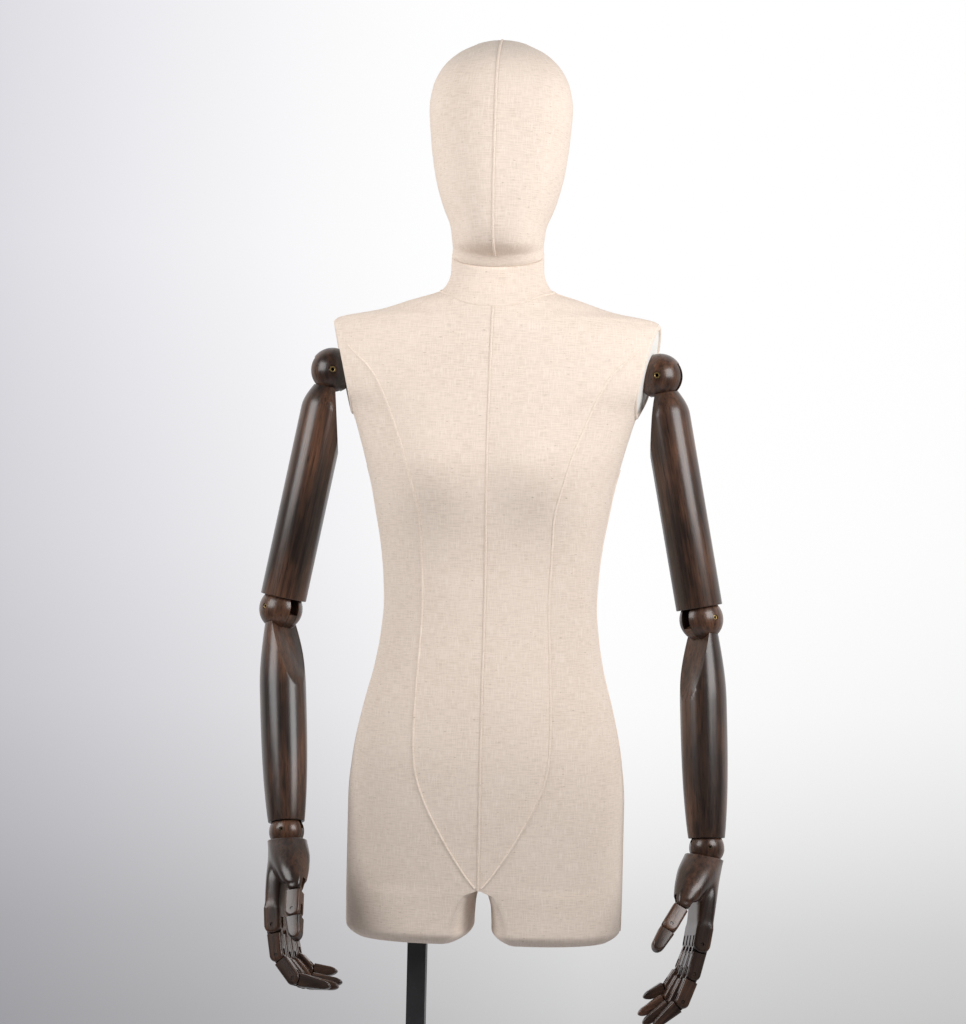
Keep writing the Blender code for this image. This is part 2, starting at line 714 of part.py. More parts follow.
def forearm():
    """Tapered bar cupped at both ends, with a fan tenon and a flat for the bend, in the elbow's frame."""
    cup = seat(ELBOW_BALL)
    neck = -math.sqrt(cup ** 2 - FOREARM_NECK ** 2)
    end = -FOREARM_LENGTH + WRIST_RIM
    profile = [(0.0, neck)] + swelling(FOREARM_NECK, neck, FOREARM_RADIUS, -FOREARM_SWELL)
    for share in (0.25, 0.5, 0.75, 1.0):
        radius = FOREARM_RADIUS + (FOREARM_WRIST - FOREARM_RADIUS) * share ** FOREARM_TAPER
        profile.append((radius, -FOREARM_SWELL + (end + FOREARM_SWELL) * share))
    profile.append((0.0, end))
    facet = flat(FOREARM_FLAT, cup, FOREARM_RADIUS, FOREARM_SWELL)
    wrist = moved(ball(seat(WRIST_BALL)), shift(z=-FOREARM_LENGTH))
    stud_top = -FOREARM_LENGTH + WRIST_BALL + WRIST_STUD + CLEAR
    stud = rod(bore(WRIST_STUD_RADIUS), -FOREARM_LENGTH, stud_top)
    body = cut(turned(profile), ball(cup), facet, wrist, stud)
    tenon = fan(ELBOW_ROUND, ELBOW_BALL - FAN_STEP, ELBOW_FAN, cup + ELBOW_ROUND, FOREARM_FLAT, ELBOW_TONGUE)
    return cut(join(body, tenon), rod(bore(ELBOW_PIN), -FAR, FAR, "Y"))


def wrist_ball():
    """Ball with its own dowel, slotted for the palm's fan over its bend, in the wrist's frame."""
    back, front = WRIST_LIMITS
    behind, ahead = WRIST_FAN
    dowel = rod(WRIST_STUD_RADIUS, WRIST_ROUND + 4 * CLEAR, WRIST_BALL + WRIST_STUD)
    room = fan_slot(WRIST_ROUND, behind + front + FAN_MARGIN, ahead + back + FAN_MARGIN, WRIST_TONGUE)
    return cut(join(ball(WRIST_BALL), dowel), room, rod(bore(WRIST_PIN), -FAR, FAR, "Y"))


def knuckle(round_end, width, root):
    """End of a fork: a bar with a round end about the pin at the origin, reaching up to height root."""
    outline = arc(round_end, 0, -180, 5) + [(-round_end, root), (round_end, root)]
    return slab(outline, width, FINGER_EDGE)


def fork_slot(round_end):
    """Slot that takes the next segment's tongue, about the pin at the origin."""
    half = FINGER_TONGUE / 2 + CLEAR
    top = round_end - TONGUE_STEP + CLEAR
    return box((-2 * round_end, -half, -2 * round_end), (2 * round_end, half, top))


def fork_bore(width):
    """Cross bore through a fork of some width, about the pin at the origin."""
    return rod(bore(FINGER_PIN, PIN_SIDES), -width, width, "Y", PIN_SIDES)


def segment(length, width, thick, hub, taper):
    """Finger segment from the pin at the origin down: a tongue above, a fork or a tapered tip below."""
    half = thick / 2
    top = -hub - FOLD_GAP
    centre = -length + half if taper else -length
    outline = [(-half, top), (half, top)] + arc(half, 0, -180, 5, (0.0, centre))
    body = slab(outline, width, FINGER_EDGE)
    if taper:
        for point in body.vertices:
            share = 1.0 - taper * (top - point.co.z) / (top + length)
            point.co.x *= share
            point.co.y *= share
    else:
        body = cut(body, moved(fork_slot(half), shift(z=-length)), moved(fork_bore(width), shift(z=-length)))
    tenon = tongue(hub - TONGUE_STEP, -top + FINGER_EDGE, FINGER_TONGUE)
    pin_end = (width - FINGER_GAP) / 2
    return join(body, tenon, rod(FINGER_PIN, -pin_end, pin_end, "Y", PIN_SIDES))


def knuckle_place(name):
    across = FINGERS[name][0] * FINGER_PITCH
    return shift(PALM_OFFSET, across, -PALM_LENGTH)


def thumb_place():
    return shift(THUMB_X, THUMB_Y, -THUMB_DROP) @ turn("X", -THUMB_SPLAY)


def loft(sections, around):
    """Closed form through sections: height, middle in x and y, half thickness, half width, squareness."""
    work = bmesh.new()
    rows = []
    for z, x, y, deep, wide, power in sections:
        row = []
        for i in range(around):
            angle = 2 * math.pi * (i + 0.5) / around
            place_x = x + deep * signed_power(math.cos(angle), power)
            place_y = y + wide * signed_power(math.sin(angle), power)
            row.append(work.verts.new((place_x, place_y, z)))
        rows.append(row)
    for upper, lower in zip(rows, rows[1:]):
        skin(work, upper, lower, closed=True)
    work.faces.new(rows[0])
    work.faces.new(rows[-1])
    return mesh_of(work)


def palm():
    """Palm from the wrist cup to a comb of knuckles, with the mound that carries the thumb."""
    across = 2 * FINGER_PITCH
    fall = PALM_LENGTH - PALM_THICK - WRIST_RIM
    sections = []
    for rows, deep, wide in ((PALM_WRIST, FOREARM_WRIST, FOREARM_WRIST), (PALM_BODY, PALM_ROUND, across)):
        for way, aside, thick, width, power in rows:
            size = (deep * thick, wide * width)
            sections.append((-WRIST_RIM - fall * way, PALM_OFFSET * aside, 0.0, *size, power))
    thumb_fall = THUMB_DROP - THUMB_STEP - WRIST_RIM
    mound = []
    for way, aside, thick, width in MOUND:
        size = (FOREARM_WRIST * thick, FOREARM_WRIST * width)
        mound.append((-WRIST_RIM - thumb_fall * way, THUMB_X * aside, THUMB_Y * aside, *size, MOUND_POWER))
    comb = moved(knuckle(PALM_ROUND, 2 * across, COMB_ROOT), shift(PALM_OFFSET, z=-PALM_LENGTH))
    stub = moved(knuckle(THUMB_ROUND, THUMB_WIDTH, THUMB_ROUND + FINGER_EDGE), thumb_place())
    cuts = [moved(fork_slot(PALM_ROUND), knuckle_place(name)) for name in FINGERS]
    cuts.append(moved(fork_bore(2 * across), shift(PALM_OFFSET, z=-PALM_LENGTH)))
    cuts.append(moved(fork_slot(THUMB_ROUND), thumb_place()))
    cuts.append(moved(fork_bore(THUMB_ROUND + FINGER_GAP), thumb_place()))
    reach = WRIST_BALL - FAN_STEP
    tenon = fan(WRIST_ROUND, reach, WRIST_FAN, WRIST_BALL + WRIST_ROUND, WRIST_ROUND, WRIST_TONGUE)
    body = join(loft(sections, PALM_SIDES), loft(mound, MOUND_SIDES), stub, comb)
    body = cut(body, ball(seat(WRIST_BALL)), *cuts)
    return cut(join(body, tenon), rod(bore(WRIST_PIN), -FAR / 5, FAR / 5, "Y"))


def arm_meshes():
    """Every piece of the left arm, each in the frame of the joint that carries it."""
    shoulder_pin = hollow_pin(SHOULDER_PIN, SHOULDER_BALL - SHOULDER_PIN / 4)
    made = {
        "shoulder_sleeve": shoulder_sleeve(),
        "shoulder_block": shoulder_block(),
        "shoulder_stud": shoulder_stud(),
        "shoulder_pin": moved(shoulder_pin, shift(SHOULDER_PIN_X)),
        "upper_arm": upper_arm(),
        "elbow_ball": elbow_ball(),
        "elbow_stud": elbow_stud(),
        "elbow_pin": hollow_pin(ELBOW_PIN, ELBOW_BALL - ELBOW_PIN / 3),
        "forearm": forearm(),
        "wrist_ball": wrist_ball(),
        "wrist_pin": hollow_pin(WRIST_PIN, WRIST_BALL - WRIST_PIN / 3),
        "palm": palm(),
        "thumb_proximal": segment(THUMB_LENGTHS[0], THUMB_WIDTH, THUMB_WIDTH, THUMB_ROUND, 0.0),
        "thumb_distal": segment(THUMB_LENGTHS[1], THUMB_WIDTH, THUMB_WIDTH, THUMB_ROUND, THUMB_TAPER),
    }
    for name, (_, lengths) in FINGERS.items():
        for i, (length, taper) in enumerate(zip(lengths, (0.0, 0.0, FINGER_TAPER))):
            hub = PALM_ROUND if i == 0 else FINGER_ROUND
            made[f"{name}_{SEGMENT_NAMES[i]}"] = segment(length, FINGER_WIDTH, FINGER_THICK, hub, taper)
    return made


def axis_empty(name, local, parent=None):
    """Empty on a joint's axis."""
    item = bpy.data.objects.new(name, None)
    item.empty_display_size = 0.02
    parts.objects.link(item)
    item.parent = parent
    item.matrix_basis = local
    return item


def place(name, mesh, material, parent=None):
    mesh.name = name
    mesh.materials.clear()
    mesh.materials.append(material)
    mesh.shade_smooth()
    mesh.set_sharp_from_angle(angle=math.radians(35))
    item = bpy.data.objects.new(name, mesh)
    parts.objects.link(item)
    item.parent = parent
    return item


def build_arm(side, meshes):
    """Chain of joint axes for one arm in the photographed pose, with its pieces on them."""
    pose = POSE[side]

    def axis(name, local, parent=None):
        return axis_empty(f"{side}_{name}_axis", sided(local, side), parent)

    def piece(name, parent, material):
        mesh = meshes[name].copy()
        if side == "right":
            mesh.transform(FLIP)
            mesh.flip_normals()
        place(f"{side}_{name}", mesh, material, parent)

    swing = axis("shoulder_swing", armhole_frame())
    piece("shoulder_sleeve", swing, steel)
    piece("shoulder_block", swing, walnut)
    piece("shoulder_stud", swing, steel)
    piece("shoulder_pin", swing, brass)
    lift = axis("shoulder_raise", shift(SHOULDER_PIN_X) @ turn("Y", -pose["raise"]), swing)
    piece("upper_arm", lift, walnut)
    elbow = axis("elbow_twist", shift(z=-UPPER_LENGTH) @ turn("Z", pose["elbow_turn"]), lift)
    piece("elbow_ball", elbow, walnut)
    piece("elbow_stud", elbow, steel)
    piece("elbow_pin", elbow, brass)
    bend = axis("elbow_bend", turn("Y", pose["elbow_bend"]), elbow)
    piece("forearm", bend, walnut)
    wrist = axis("wrist_twist", shift(z=-FOREARM_LENGTH) @ turn("Z", pose["wrist_turn"]), bend)
    piece("wrist_ball", wrist, walnut)
    piece("wrist_pin", wrist, brass)
    hand = axis("wrist_bend", turn("Y", pose["wrist_bend"]), wrist)
    piece("palm", hand, walnut)
    chains = {name: (knuckle_place(name), lengths) for name, (_, lengths) in FINGERS.items()}
    chains["thumb"] = (thumb_place(), THUMB_LENGTHS)
    for name, (start, lengths) in chains.items():
        parent = hand
        names = SEGMENT_NAMES if len(lengths) == 3 else ("proximal", "distal")
        for segment_name, length, fold in zip(names, lengths, pose[name]):
            parent = axis(f"{name}_{segment_name}", start @ turn("Y", fold), parent)
            piece(f"{name}_{segment_name}", parent, walnut)
            start = shift(z=-length)


clear_scene()
parts = collection("articulated_torso_mannequin")
cutters = collection("cutters")
linen = finish("linen", (0.78, 0.68, 0.55), 0.85)
walnut = finish("walnut", (0.075, 0.04, 0.024), 0.35)
beech = finish("beech", (0.55, 0.38, 0.22), 0.6)
brass = finish("brass", (0.60, 0.44, 0.20), 0.35, 1.0)
steel = finish("steel", (0.55, 0.55, 0.56), 0.35, 1.0)
black_steel = finish("black_steel", (0.028, 0.028, 0.030), 0.5)

place("base_plate", base_plate(), black_steel)
place("pole_collar", pole_collar(), black_steel)
place("pole", pole(), black_steel)
place("pole_block", pole_block(), beech)
place("torso_shell", torso_shell(), linen)
place("neck_plug", moved(neck_plug(), neck_frame()), beech)
neck_axis = axis_empty("head_turn_axis", neck_frame())
place("head", moved(head(), neck_frame().inverted()), linen, neck_axis)
arm_pieces = arm_meshes()
for each_side in POSE:
    build_arm(each_side, arm_pieces)
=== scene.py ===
"""Studio scene for the articulated torso mannequin: linen torso and head, polished dark wooden arms.

Metres, Z up, the figure faces -Y. An arm is drawn for the figure's left side (+X) and mirrored for its right.
Sizes repeat those of the solids, apart from a slightly higher crotch, so that each finer piece sits where its
solid is.
"""
import math
from collections import namedtuple

import bmesh
import bpy
import numpy as np
from mathutils import Matrix, Vector
from mathutils.bvhtree import BVHTree


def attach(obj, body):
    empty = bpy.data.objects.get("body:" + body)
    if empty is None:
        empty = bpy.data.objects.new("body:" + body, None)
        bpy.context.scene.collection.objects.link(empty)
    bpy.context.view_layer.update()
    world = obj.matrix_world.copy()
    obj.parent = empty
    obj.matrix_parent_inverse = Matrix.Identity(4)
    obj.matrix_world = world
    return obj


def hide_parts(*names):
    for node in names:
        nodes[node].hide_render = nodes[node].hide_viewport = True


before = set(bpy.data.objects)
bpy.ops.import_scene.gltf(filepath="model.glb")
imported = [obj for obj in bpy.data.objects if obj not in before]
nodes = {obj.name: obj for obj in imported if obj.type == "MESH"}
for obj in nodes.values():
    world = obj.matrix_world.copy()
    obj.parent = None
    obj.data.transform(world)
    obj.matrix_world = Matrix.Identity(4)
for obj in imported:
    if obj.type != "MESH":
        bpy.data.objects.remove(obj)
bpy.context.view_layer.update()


def grey(value):
    return (value, value, value)


# Fineness
SIDES = 64  # facets round a ball, a bar or the palm
PIN_FACETS = 24  # facets round a pin or a bore
AROUND = 60  # points on half of a torso section
ROW_STEP = 4.0  # millimetres between torso or head sections
EDGE = 0.0012  # rounding of a bar's rim and of the stand's edges
VOXEL = 0.001  # fineness that the palm is carved at
PALM_STEP = 0.004  # between the palm's sections
SANDED = 3  # rounds of smoothing all over the palm
CARVED = 30  # rounds of smoothing that blend the palm's forms
SEAM_STEP = 0.005  # between the sections of a seam
TINY = 1e-6  # points nearer than this are one

# Degrees past which an edge counts as sharp
SHARP = {"stand": 40, "torso": 40, "head": 50, "seam": 60, "arm": 32, "slab": 50}

# Fits
CLEAR = 0.0003  # gap between pieces that seat on or turn in each other
CUP_GAP = 0.0006  # gap between a ball and the cup that turns on it
FOLD_GAP = 0.0006  # gap between a finger's shoulder and the knuckle it folds round
FAN_STEP = 0.0005  # how far a tenon's fan stays under the ball that it fills
FAN_MARGIN = 2.0  # degrees of slot past a tenon at each end of its travel
STUD_STEP = 4 * CLEAR  # wood between a stud's end and a slot

# Stand and torso
THIGH_Z = 0.712
POLE_X = -0.078
POLE_Y = 0.005
POLE_SIDE = 0.022
POLE_HOLE = 0.024  # depth of its hole in the thigh
THIGH_FILLET = 0.014
BUST = (0.016, 0.070, 0.548, 0.055)  # fullness, distance from the middle, rise over the thighs, spread
SEAT = (0.012, 0.075, 0.155, 0.075)
NECK_Y = 0.015
NECK_TILT = 21.5
NECK_ROUND = 0.0015  # turned-in edge of the cloth at the neck seam
NECK_HOLE = 0.040
PLUG_THICK = 0.012
SPIGOT_RADIUS = 0.012
SPIGOT_LENGTH = 0.045
HEAD_GIRTH = 0.085  # radius that the head's cloth is measured round at
LEVEL = 0.75  # upward share of a face's normal past which its cloth is laid from above
SHOULDER_TIP = 731
HEM = 0.0035  # radius of the cloth's rolled edge round an armhole
HEM_SUNK = 0.7  # how far it is sunk into both faces, of its radius

# Shoulder
ARMHOLE_X = 0.182
ARMHOLE_Y = 0.006
ARMHOLE_DROP = 0.058
ARMHOLE_TILT = 12.0
ARMHOLE_TURN = 8.0
BOARD_BELOW = 0.093
SLEEVE_RADIUS = 0.013
SLEEVE_LENGTH = 0.032
SHOULDER_FLOOR = 0.0045

# Ball joints: radius of the ball, tenon's thickness, its hub and its fan's degrees to each side, pin and stud
Joint = namedtuple("Joint", "ball tongue hub fan pin stud")
SHOULDER = Joint(ball=0.027, tongue=0.016, hub=0.009, fan=(25.0, 45.0), pin=0.004, stud=0.005)
ELBOW = Joint(ball=0.026, tongue=0.012, hub=0.010, fan=(60.0, 115.0), pin=0.003, stud=0.005)
WRIST = Joint(ball=0.0205, tongue=0.010, hub=0.008, fan=(95.0, 95.0), pin=0.0025, stud=0.004)
RAISE_LIMITS = (18.0, 90.0)
ELBOW_LIMIT = 86.0
WRIST_LIMITS = (35.0, 40.0)
RIVET_LIP = 0.18  # rolled lip and hollow of a rivet, of its radius
RIVET_HOLE = 0.5

# Arm bars: length, radii at the neck, the swell and the lower end, how far down the swell is full, the flat's
# distance from the middle and its end, the lower end's distance from the next ball's middle, the stud's reach
Bar = namedtuple("Bar", "length neck radius end swell flat flat_end rim stud")
UPPER = Bar(
    length=0.292, neck=0.018, radius=0.0275, end=0.0275, swell=0.050,
    flat=0.009, flat_end=0.096, rim=0.014, stud=0.030)
FOREARM = Bar(
    length=0.268, neck=0.0195, radius=0.0275, end=0.0215, swell=0.098,
    flat=0.007, flat_end=0.098, rim=0.011, stud=0.028)
FOREARM_TAPER = 3.0

# Hand
PALM_LENGTH = 0.112
PALM_THICK = 0.020
PALM_OFFSET = 0.0085
FINGER_WIDTH = 0.017
FINGER_GAP = 0.0015
FINGER_THICK = 0.016
FINGER_TONGUE = 0.006
FINGER_PIN = 0.00175
FINGER_EDGE = 0.0028
TONGUE_STEP = 0.0015
THUMB_WIDTH = 0.018
THUMB_LENGTHS = (0.033, 0.036)
THUMB_X = -0.023
THUMB_Y = -0.042
THUMB_DROP = 0.070
THUMB_SPLAY = 18.0
THUMB_STEP = 0.003
FINGER_TAPER = 0.5
THUMB_TAPER = 0.25
FINGERS = {
    # name: (place across the palm, lengths of the three segments)
    "index": (-1.5, (0.035, 0.034, 0.044)),
    "middle": (-0.5, (0.037, 0.035, 0.044)),
    "ring": (0.5, (0.035, 0.033, 0.042)),
    "little": (1.5, (0.028, 0.027, 0.034)),
}
SEGMENT_NAMES = ("proximal", "middle", "distal")

# Rest pose in degrees: the photographed one, but for the way the elbows face
POSE = {
    "left": {
        "raise": 23.0, "elbow_turn": 50.0, "elbow_bend": 11.0, "wrist_turn": -30.0, "wrist_bend": 12.0,
        "thumb": (22.0, 0.0),
        "index": (5.0, 7.0, 26.0), "middle": (8.0, 9.0, 28.0),
        "ring": (10.0, 11.0, 30.0), "little": (12.0, 12.0, 32.0),
    },
    "right": {
        "raise": 22.9, "elbow_turn": 50.0, "elbow_bend": 21.0, "wrist_turn": -30.0, "wrist_bend": 0.0,
        "thumb": (2.0, 6.0),
        "index": (6.0, 29.0, 39.0), "middle": (7.0, 31.0, 40.0),
        "ring": (8.0, 32.0, 41.0), "little": (9.0, 33.0, 42.0),
    },
}

# Torso sections: height over the thighs' ends, half width, front, back, squareness, slope in degrees
TORSO = (
    (814, 55, 40, 70, 2.0, NECK_TILT),
    (793, 55.5, 41, 71, 2.0, 14),
    (780, 59, 45, 74, 2.0, 10),
    (768, 68, 50, 79, 1.9, 7),
    (757, 102, 55, 82, 1.6, 4),
    (745, 137, 60, 84, 1.5, 2),
    (733, 190, 66, 86, 1.45, 0),
    (721, 203, 71, 88, 1.7, 0),
    (698, 210, 78, 89, 1.9, 0),
    (673, 207, 84, 89, 2.0, 0),
    (648, 193, 90, 88, 2.1, 0),
    (626, 172, 94, 87, 2.2, 0),
    (590, 159.5, 98, 86, 2.2, 0),
    (563, 152, 100, 85, 2.2, 0),
    (537, 145, 98, 83, 2.2, 0),
    (501, 138, 93, 80, 2.2, 0),
    (465, 131.5, 88, 78, 2.2, 0),
    (428, 127.5, 85, 77, 2.2, 0),
    (394, 126, 85, 79, 2.2, 0),
    (358, 129, 87, 86, 2.2, 0),
    (322, 135, 91, 94, 2.2, 0),
    (269, 148.5, 96, 104, 2.3, 0),
    (215, 159, 98, 109, 2.4, 0),
    (162, 163.5, 96, 109, 2.4, 0),
    (108, 163.5, 92, 106, 2.4, 0),
    (66, 163.5, 89, 103, 2.4, 0),
)

# Thigh sections: height, half of the gap between the thighs, half width, front, back, roundness
THIGH = (
    (59, 6, 163.5, 88, 102, 0.15),
    (40, 10, 163.3, 86, 98, 0.24),
    (20, 11, 163.0, 85, 96, 0.32),
)

# Head sections from the neck seam up: height, half width, front, back, slope
HEAD = (
    (8, 54, 47, 69, 16),
    (18, 55, 80, 70, 9),
    (30, 57, 92, 72, 4),
    (50, 65.5, 97, 78, 0),
    (74, 73, 99, 86, 0),
    (97, 78, 98, 94, 0),
    (133, 82.7, 95, 102, 0),
    (169, 85.3, 92, 104, 0),
    (193, 82, 86, 100, 0),
    (216, 71.4, 72, 86, 0),
    (234, 53, 50, 65, 0),
    (246, 30, 26, 40, 0),
)
HEAD_TOP = (8, 252)  # place from front to back, and height

# Palm sections as shares: way from the wrist to the knuckles, place towards the knuckle pins, half thickness
# and half width (of the wrist's radius in the first, of the palm's own sizes in the others), squareness
PALM_WRIST = ((0.0, 0.0, 1.0, 1.0, 2.2),)
PALM_BODY = (
    (0.25, 0.15, 1.92, 0.76, 2.5),
    (0.6, 0.75, 1.25, 0.96, 4.0),
    (1.0, 1.0, 0.96, 0.985, 9.0),
)
COMB_ROOT = 0.026  # reach of the square comb of knuckles into the palm

# Thumb's mound as shares: way from the wrist to the thumb, place towards the thumb, half thickness and half
# width of the wrist's radius
MOUND = (
    (0.0, 0.05, 1.05, 1.05),
    (0.3, 0.30, 1.08, 1.10),
    (0.65, 0.60, 0.92, 1.00),
    (1.0, 0.90, 0.64, 0.68),
)
MOUND_POWER = 2.3

# Seams: a ridge's width and height, and its section in shares of them
SEAM_WIDTH = 0.0034
SEAM_HEIGHT = 0.0012
SEAM_PROFILE = (
    (-0.5, -0.35), (-0.38, 0.45), (-0.16, 0.92), (0.0, 1.0), (0.16, 0.92), (0.38, 0.45), (0.5, -0.35),
)

# Front and back seams between the panels: distance from the middle and height, from the armhole down
PRINCESS = (
    (0.1715, 1.409), (0.1355, 1.371), (0.105, 1.302), (0.09, 1.256), (0.0786, 1.213), (0.0762, 1.175),
    (0.0738, 1.103), (0.0777, 1.022), (0.0796, 0.953), (0.0762, 0.913), (0.067, 0.884),
    (0.0563, 0.861), (0.0403, 0.832), (0.033, 0.82), (0.0155, 0.794), (0.004, 0.78),
)
PRINCESS_BACK = PRINCESS[:9] + ((0.0795, 0.900), (0.078, 0.820), (0.077, 0.732))

# Other seams: round the neck's foot (half width, half depth and half of its fall forward), down the side,
# over the shoulder, and round the head from under the chin to the nape, in degrees from the face
NECK_BASE = (0.065, 0.070, 0.022)
NECK_BASE_RISE = 0.767  # over the thighs
SIDE_SEAM_TOP = 1.27
SIDE_SEAM_RISE = 0.012  # its lower end over the thighs
SHOULDER_SEAM = (0.066, 0.186)
SHOULDER_SEAM_Y = 0.012
HEAD_SEAM = (-70, 222)
HEAD_MIDDLE = 0.12  # over the neck seam

# Colours
LINEN = (0.80, 0.675, 0.580)
LINEN_DEEP = (0.64, 0.530, 0.435)
LINEN_PALE = (0.86, 0.748, 0.660)
LINEN_FLECK = (0.30, 0.20, 0.13)
# Painted highlight: the seams' linen is drawn a little paler than the cover's, standing in for light on their
# ridges
SEAM_HIGHLIGHT = 1.02  # how much paler the seams' linen is
CALICO = ((0.80, 0.775, 0.73), (0.88, 0.86, 0.82))
WOOD_DARK = (0.012, 0.0075, 0.006)
WOOD_MIDDLE = (0.042, 0.022, 0.015)
WOOD_LIGHT = (0.150, 0.068, 0.038)
WOOD_PORE = (0.006, 0.004, 0.003)
GRAIN_STEP = (0.37, 0.91, 1.73)  # from one piece's place in the grain to the next one's
BEECH = ((0.42, 0.27, 0.15), (0.60, 0.42, 0.26))
BRASS = (0.46, 0.33, 0.15)
BRONZE = (0.10, 0.07, 0.045)
# Painted shade: the dark colour drawn in each rivet's hollow
HOLLOW_SHADE = (0.05, 0.04, 0.03)
STEEL = (0.52, 0.52, 0.53)
COAT = ((0.020, 0.020, 0.022), (0.034, 0.034, 0.037))
FLOOR = (0.74, 0.735, 0.76)

# Camera: the metres that the picture's height shows at the figure, and where it looks from
VIEW_HEIGHT = 1.2186
CAMERA_FAR = 3.3
CAMERA_TURN = 4.5
CAMERA_ROLL = 1.3
TARGET = (-0.011, 0.0, 1.2165)

# Light: place, target, size and power of each soft box, and the light of the surroundings
LAMPS = {
    "key": ((1.15, -0.85, 1.75), (0.0, 0.0, 1.45), 0.9, 23.5),
    "fill": ((-1.15, -0.85, 1.75), (0.0, 0.0, 1.45), 0.9, 18.5),
}
EVEN_LIGHT = 0.65  # from the backdrop's side
ROOM_LIGHT = 0.12  # share of the backdrop's light that comes from the room before it
ROOM_EDGE = (-0.1, 0.3)  # directions along Y between which the room gives way to the backdrop

# Backdrop's painted light and shade across and up the picture, by the direction looked in: greyer to the left
# of the figure, a little greyer to its right, darker towards the bottom and brightest at the top
SWEEP_ACROSS = (
    (-0.60, grey(1.0)), (-0.249, (0.545, 0.540, 0.572)), (-0.164, (0.695, 0.690, 0.715)),
    (-0.123, (0.785, 0.780, 0.80)), (-0.036, grey(1.0)), (0.091, grey(0.89)), (0.40, grey(1.0)),
)
SWEEP_UP = (
    (-0.180, grey(0.62)), (-0.147, grey(0.72)), (-0.111, grey(0.88)), (-0.068, grey(1.05)),
    (-0.014, grey(1.18)), (0.094, grey(1.34)),
)
SOFT_WHITE = 0.3  # how softly the sweep runs into white
FLOOR_RADIUS = 2.4
FLOOR_FADE = 0.9  # from here out the floor fades

# Fixed values, and sizes worked out from those above
MM = 0.001
FLIP = Matrix.Scale(-1.0, 4, (1.0, 0.0, 0.0))
FAR = 0.25  # longer than any cut
NECK_CUT = FAR / 4  # how far past the seam the neck's hole is cut
PALM_BORE = FAR / 5  # half length of the cut for the wrist's pin in the palm's tenon
NECK_Z = THIGH_Z + TORSO[0][0] * MM
CROTCH_Z = THIGH_Z + TORSO[-1][0] * MM
NECK_BASE_Z = THIGH_Z + NECK_BASE_RISE
ARMHOLE_Z = THIGH_Z + SHOULDER_TIP * MM - ARMHOLE_DROP
SHOULDER_PIN_X = CLEAR + SHOULDER_FLOOR + CLEAR + SHOULDER.hub
FINGER_PITCH = FINGER_WIDTH + FINGER_GAP
FINGER_ROUND = FINGER_THICK / 2
THUMB_ROUND = THUMB_WIDTH / 2
PALM_ROUND = PALM_THICK / 2


def turn(axis, degrees):
    return Matrix.Rotation(math.radians(degrees), 4, axis)


def shift(x=0.0, y=0.0, z=0.0):
    return Matrix.Translation((x, y, z))


def moved(mesh, matrix):
    mesh.transform(matrix)
    return mesh


def placed(name, data):
    """New object in the scene."""
    item = bpy.data.objects.new(name, data)
    bpy.context.scene.collection.objects.link(item)
    return item


def mesh_of(work):
    bmesh.ops.recalc_face_normals(work, faces=work.faces[:])
    mesh = bpy.data.meshes.new("shape")
    work.to_mesh(mesh)
    work.free()
    return mesh


def shaped(data, *steps):
    """Mesh of some data with modifiers applied: each step is a kind and its settings."""
    item = placed("working", data)
    for kind, settings in steps:
        step = item.modifiers.new(kind, kind)
        for key, value in settings.items():
            setattr(step, key, value)
    graph = bpy.context.evaluated_depsgraph_get()
    result = bpy.data.meshes.new_from_object(item.evaluated_get(graph))
    bpy.data.objects.remove(item, do_unlink=True)
    return result


def combined(mesh, operation, others):
    tools = [placed("tool", other) for other in others]
    result = shaped(mesh, *[("BOOLEAN", {"operation": operation, "object": tool}) for tool in tools])
    for tool in tools:
        bpy.data.objects.remove(tool, do_unlink=True)
    return result


def cut(mesh, *others):
    return combined(mesh, "DIFFERENCE", others)


def join(mesh, *others):
    return combined(mesh, "UNION", others)


def box(low, high):
    work = bmesh.new()
    bmesh.ops.create_cube(work, size=1.0)
    size = [b - a for a, b in zip(low, high)]
    middle = [(a + b) / 2 for a, b in zip(low, high)]
    bmesh.ops.transform(work, matrix=Matrix.LocRotScale(middle, None, size), verts=work.verts[:])
    return mesh_of(work)


def ball(radius):
    work = bmesh.new()
    bmesh.ops.create_uvsphere(work, u_segments=SIDES, v_segments=SIDES // 2, radius=radius)
    return mesh_of(work)


def rod(radius, low, high, axis="Z", sides=PIN_FACETS):
    work = bmesh.new()
    bmesh.ops.create_cone(
        work, segments=sides, cap_ends=True, radius1=radius, radius2=radius, depth=high - low)
    mesh = moved(mesh_of(work), shift(z=(low + high) / 2))
    return moved(mesh, {"X": turn("Y", 90), "Y": turn("X", -90), "Z": Matrix()}[axis])


def bore(radius, reach=FAR):
    """Cutter for a hole that a pin goes through, along Y."""
    return rod(radius + CLEAR, -reach, reach, "Y")


def turned(profile, sides=SIDES):
    """Solid of revolution about Z from (radius, height) points."""
    mesh = bpy.data.meshes.new("profile")
    points = [(radius, 0.0, height) for radius, height in profile]
    mesh.from_pydata(points, [(i, i + 1) for i in range(len(points) - 1)], [])
    made = shaped(mesh, ("SCREW", {
        "steps": sides, "render_steps": sides, "use_merge_vertices": True, "merge_threshold": TINY}))
    work = bmesh.new()
    work.from_mesh(made)
    bmesh.ops.remove_doubles(work, verts=work.verts[:], dist=TINY)
    return mesh_of(work)


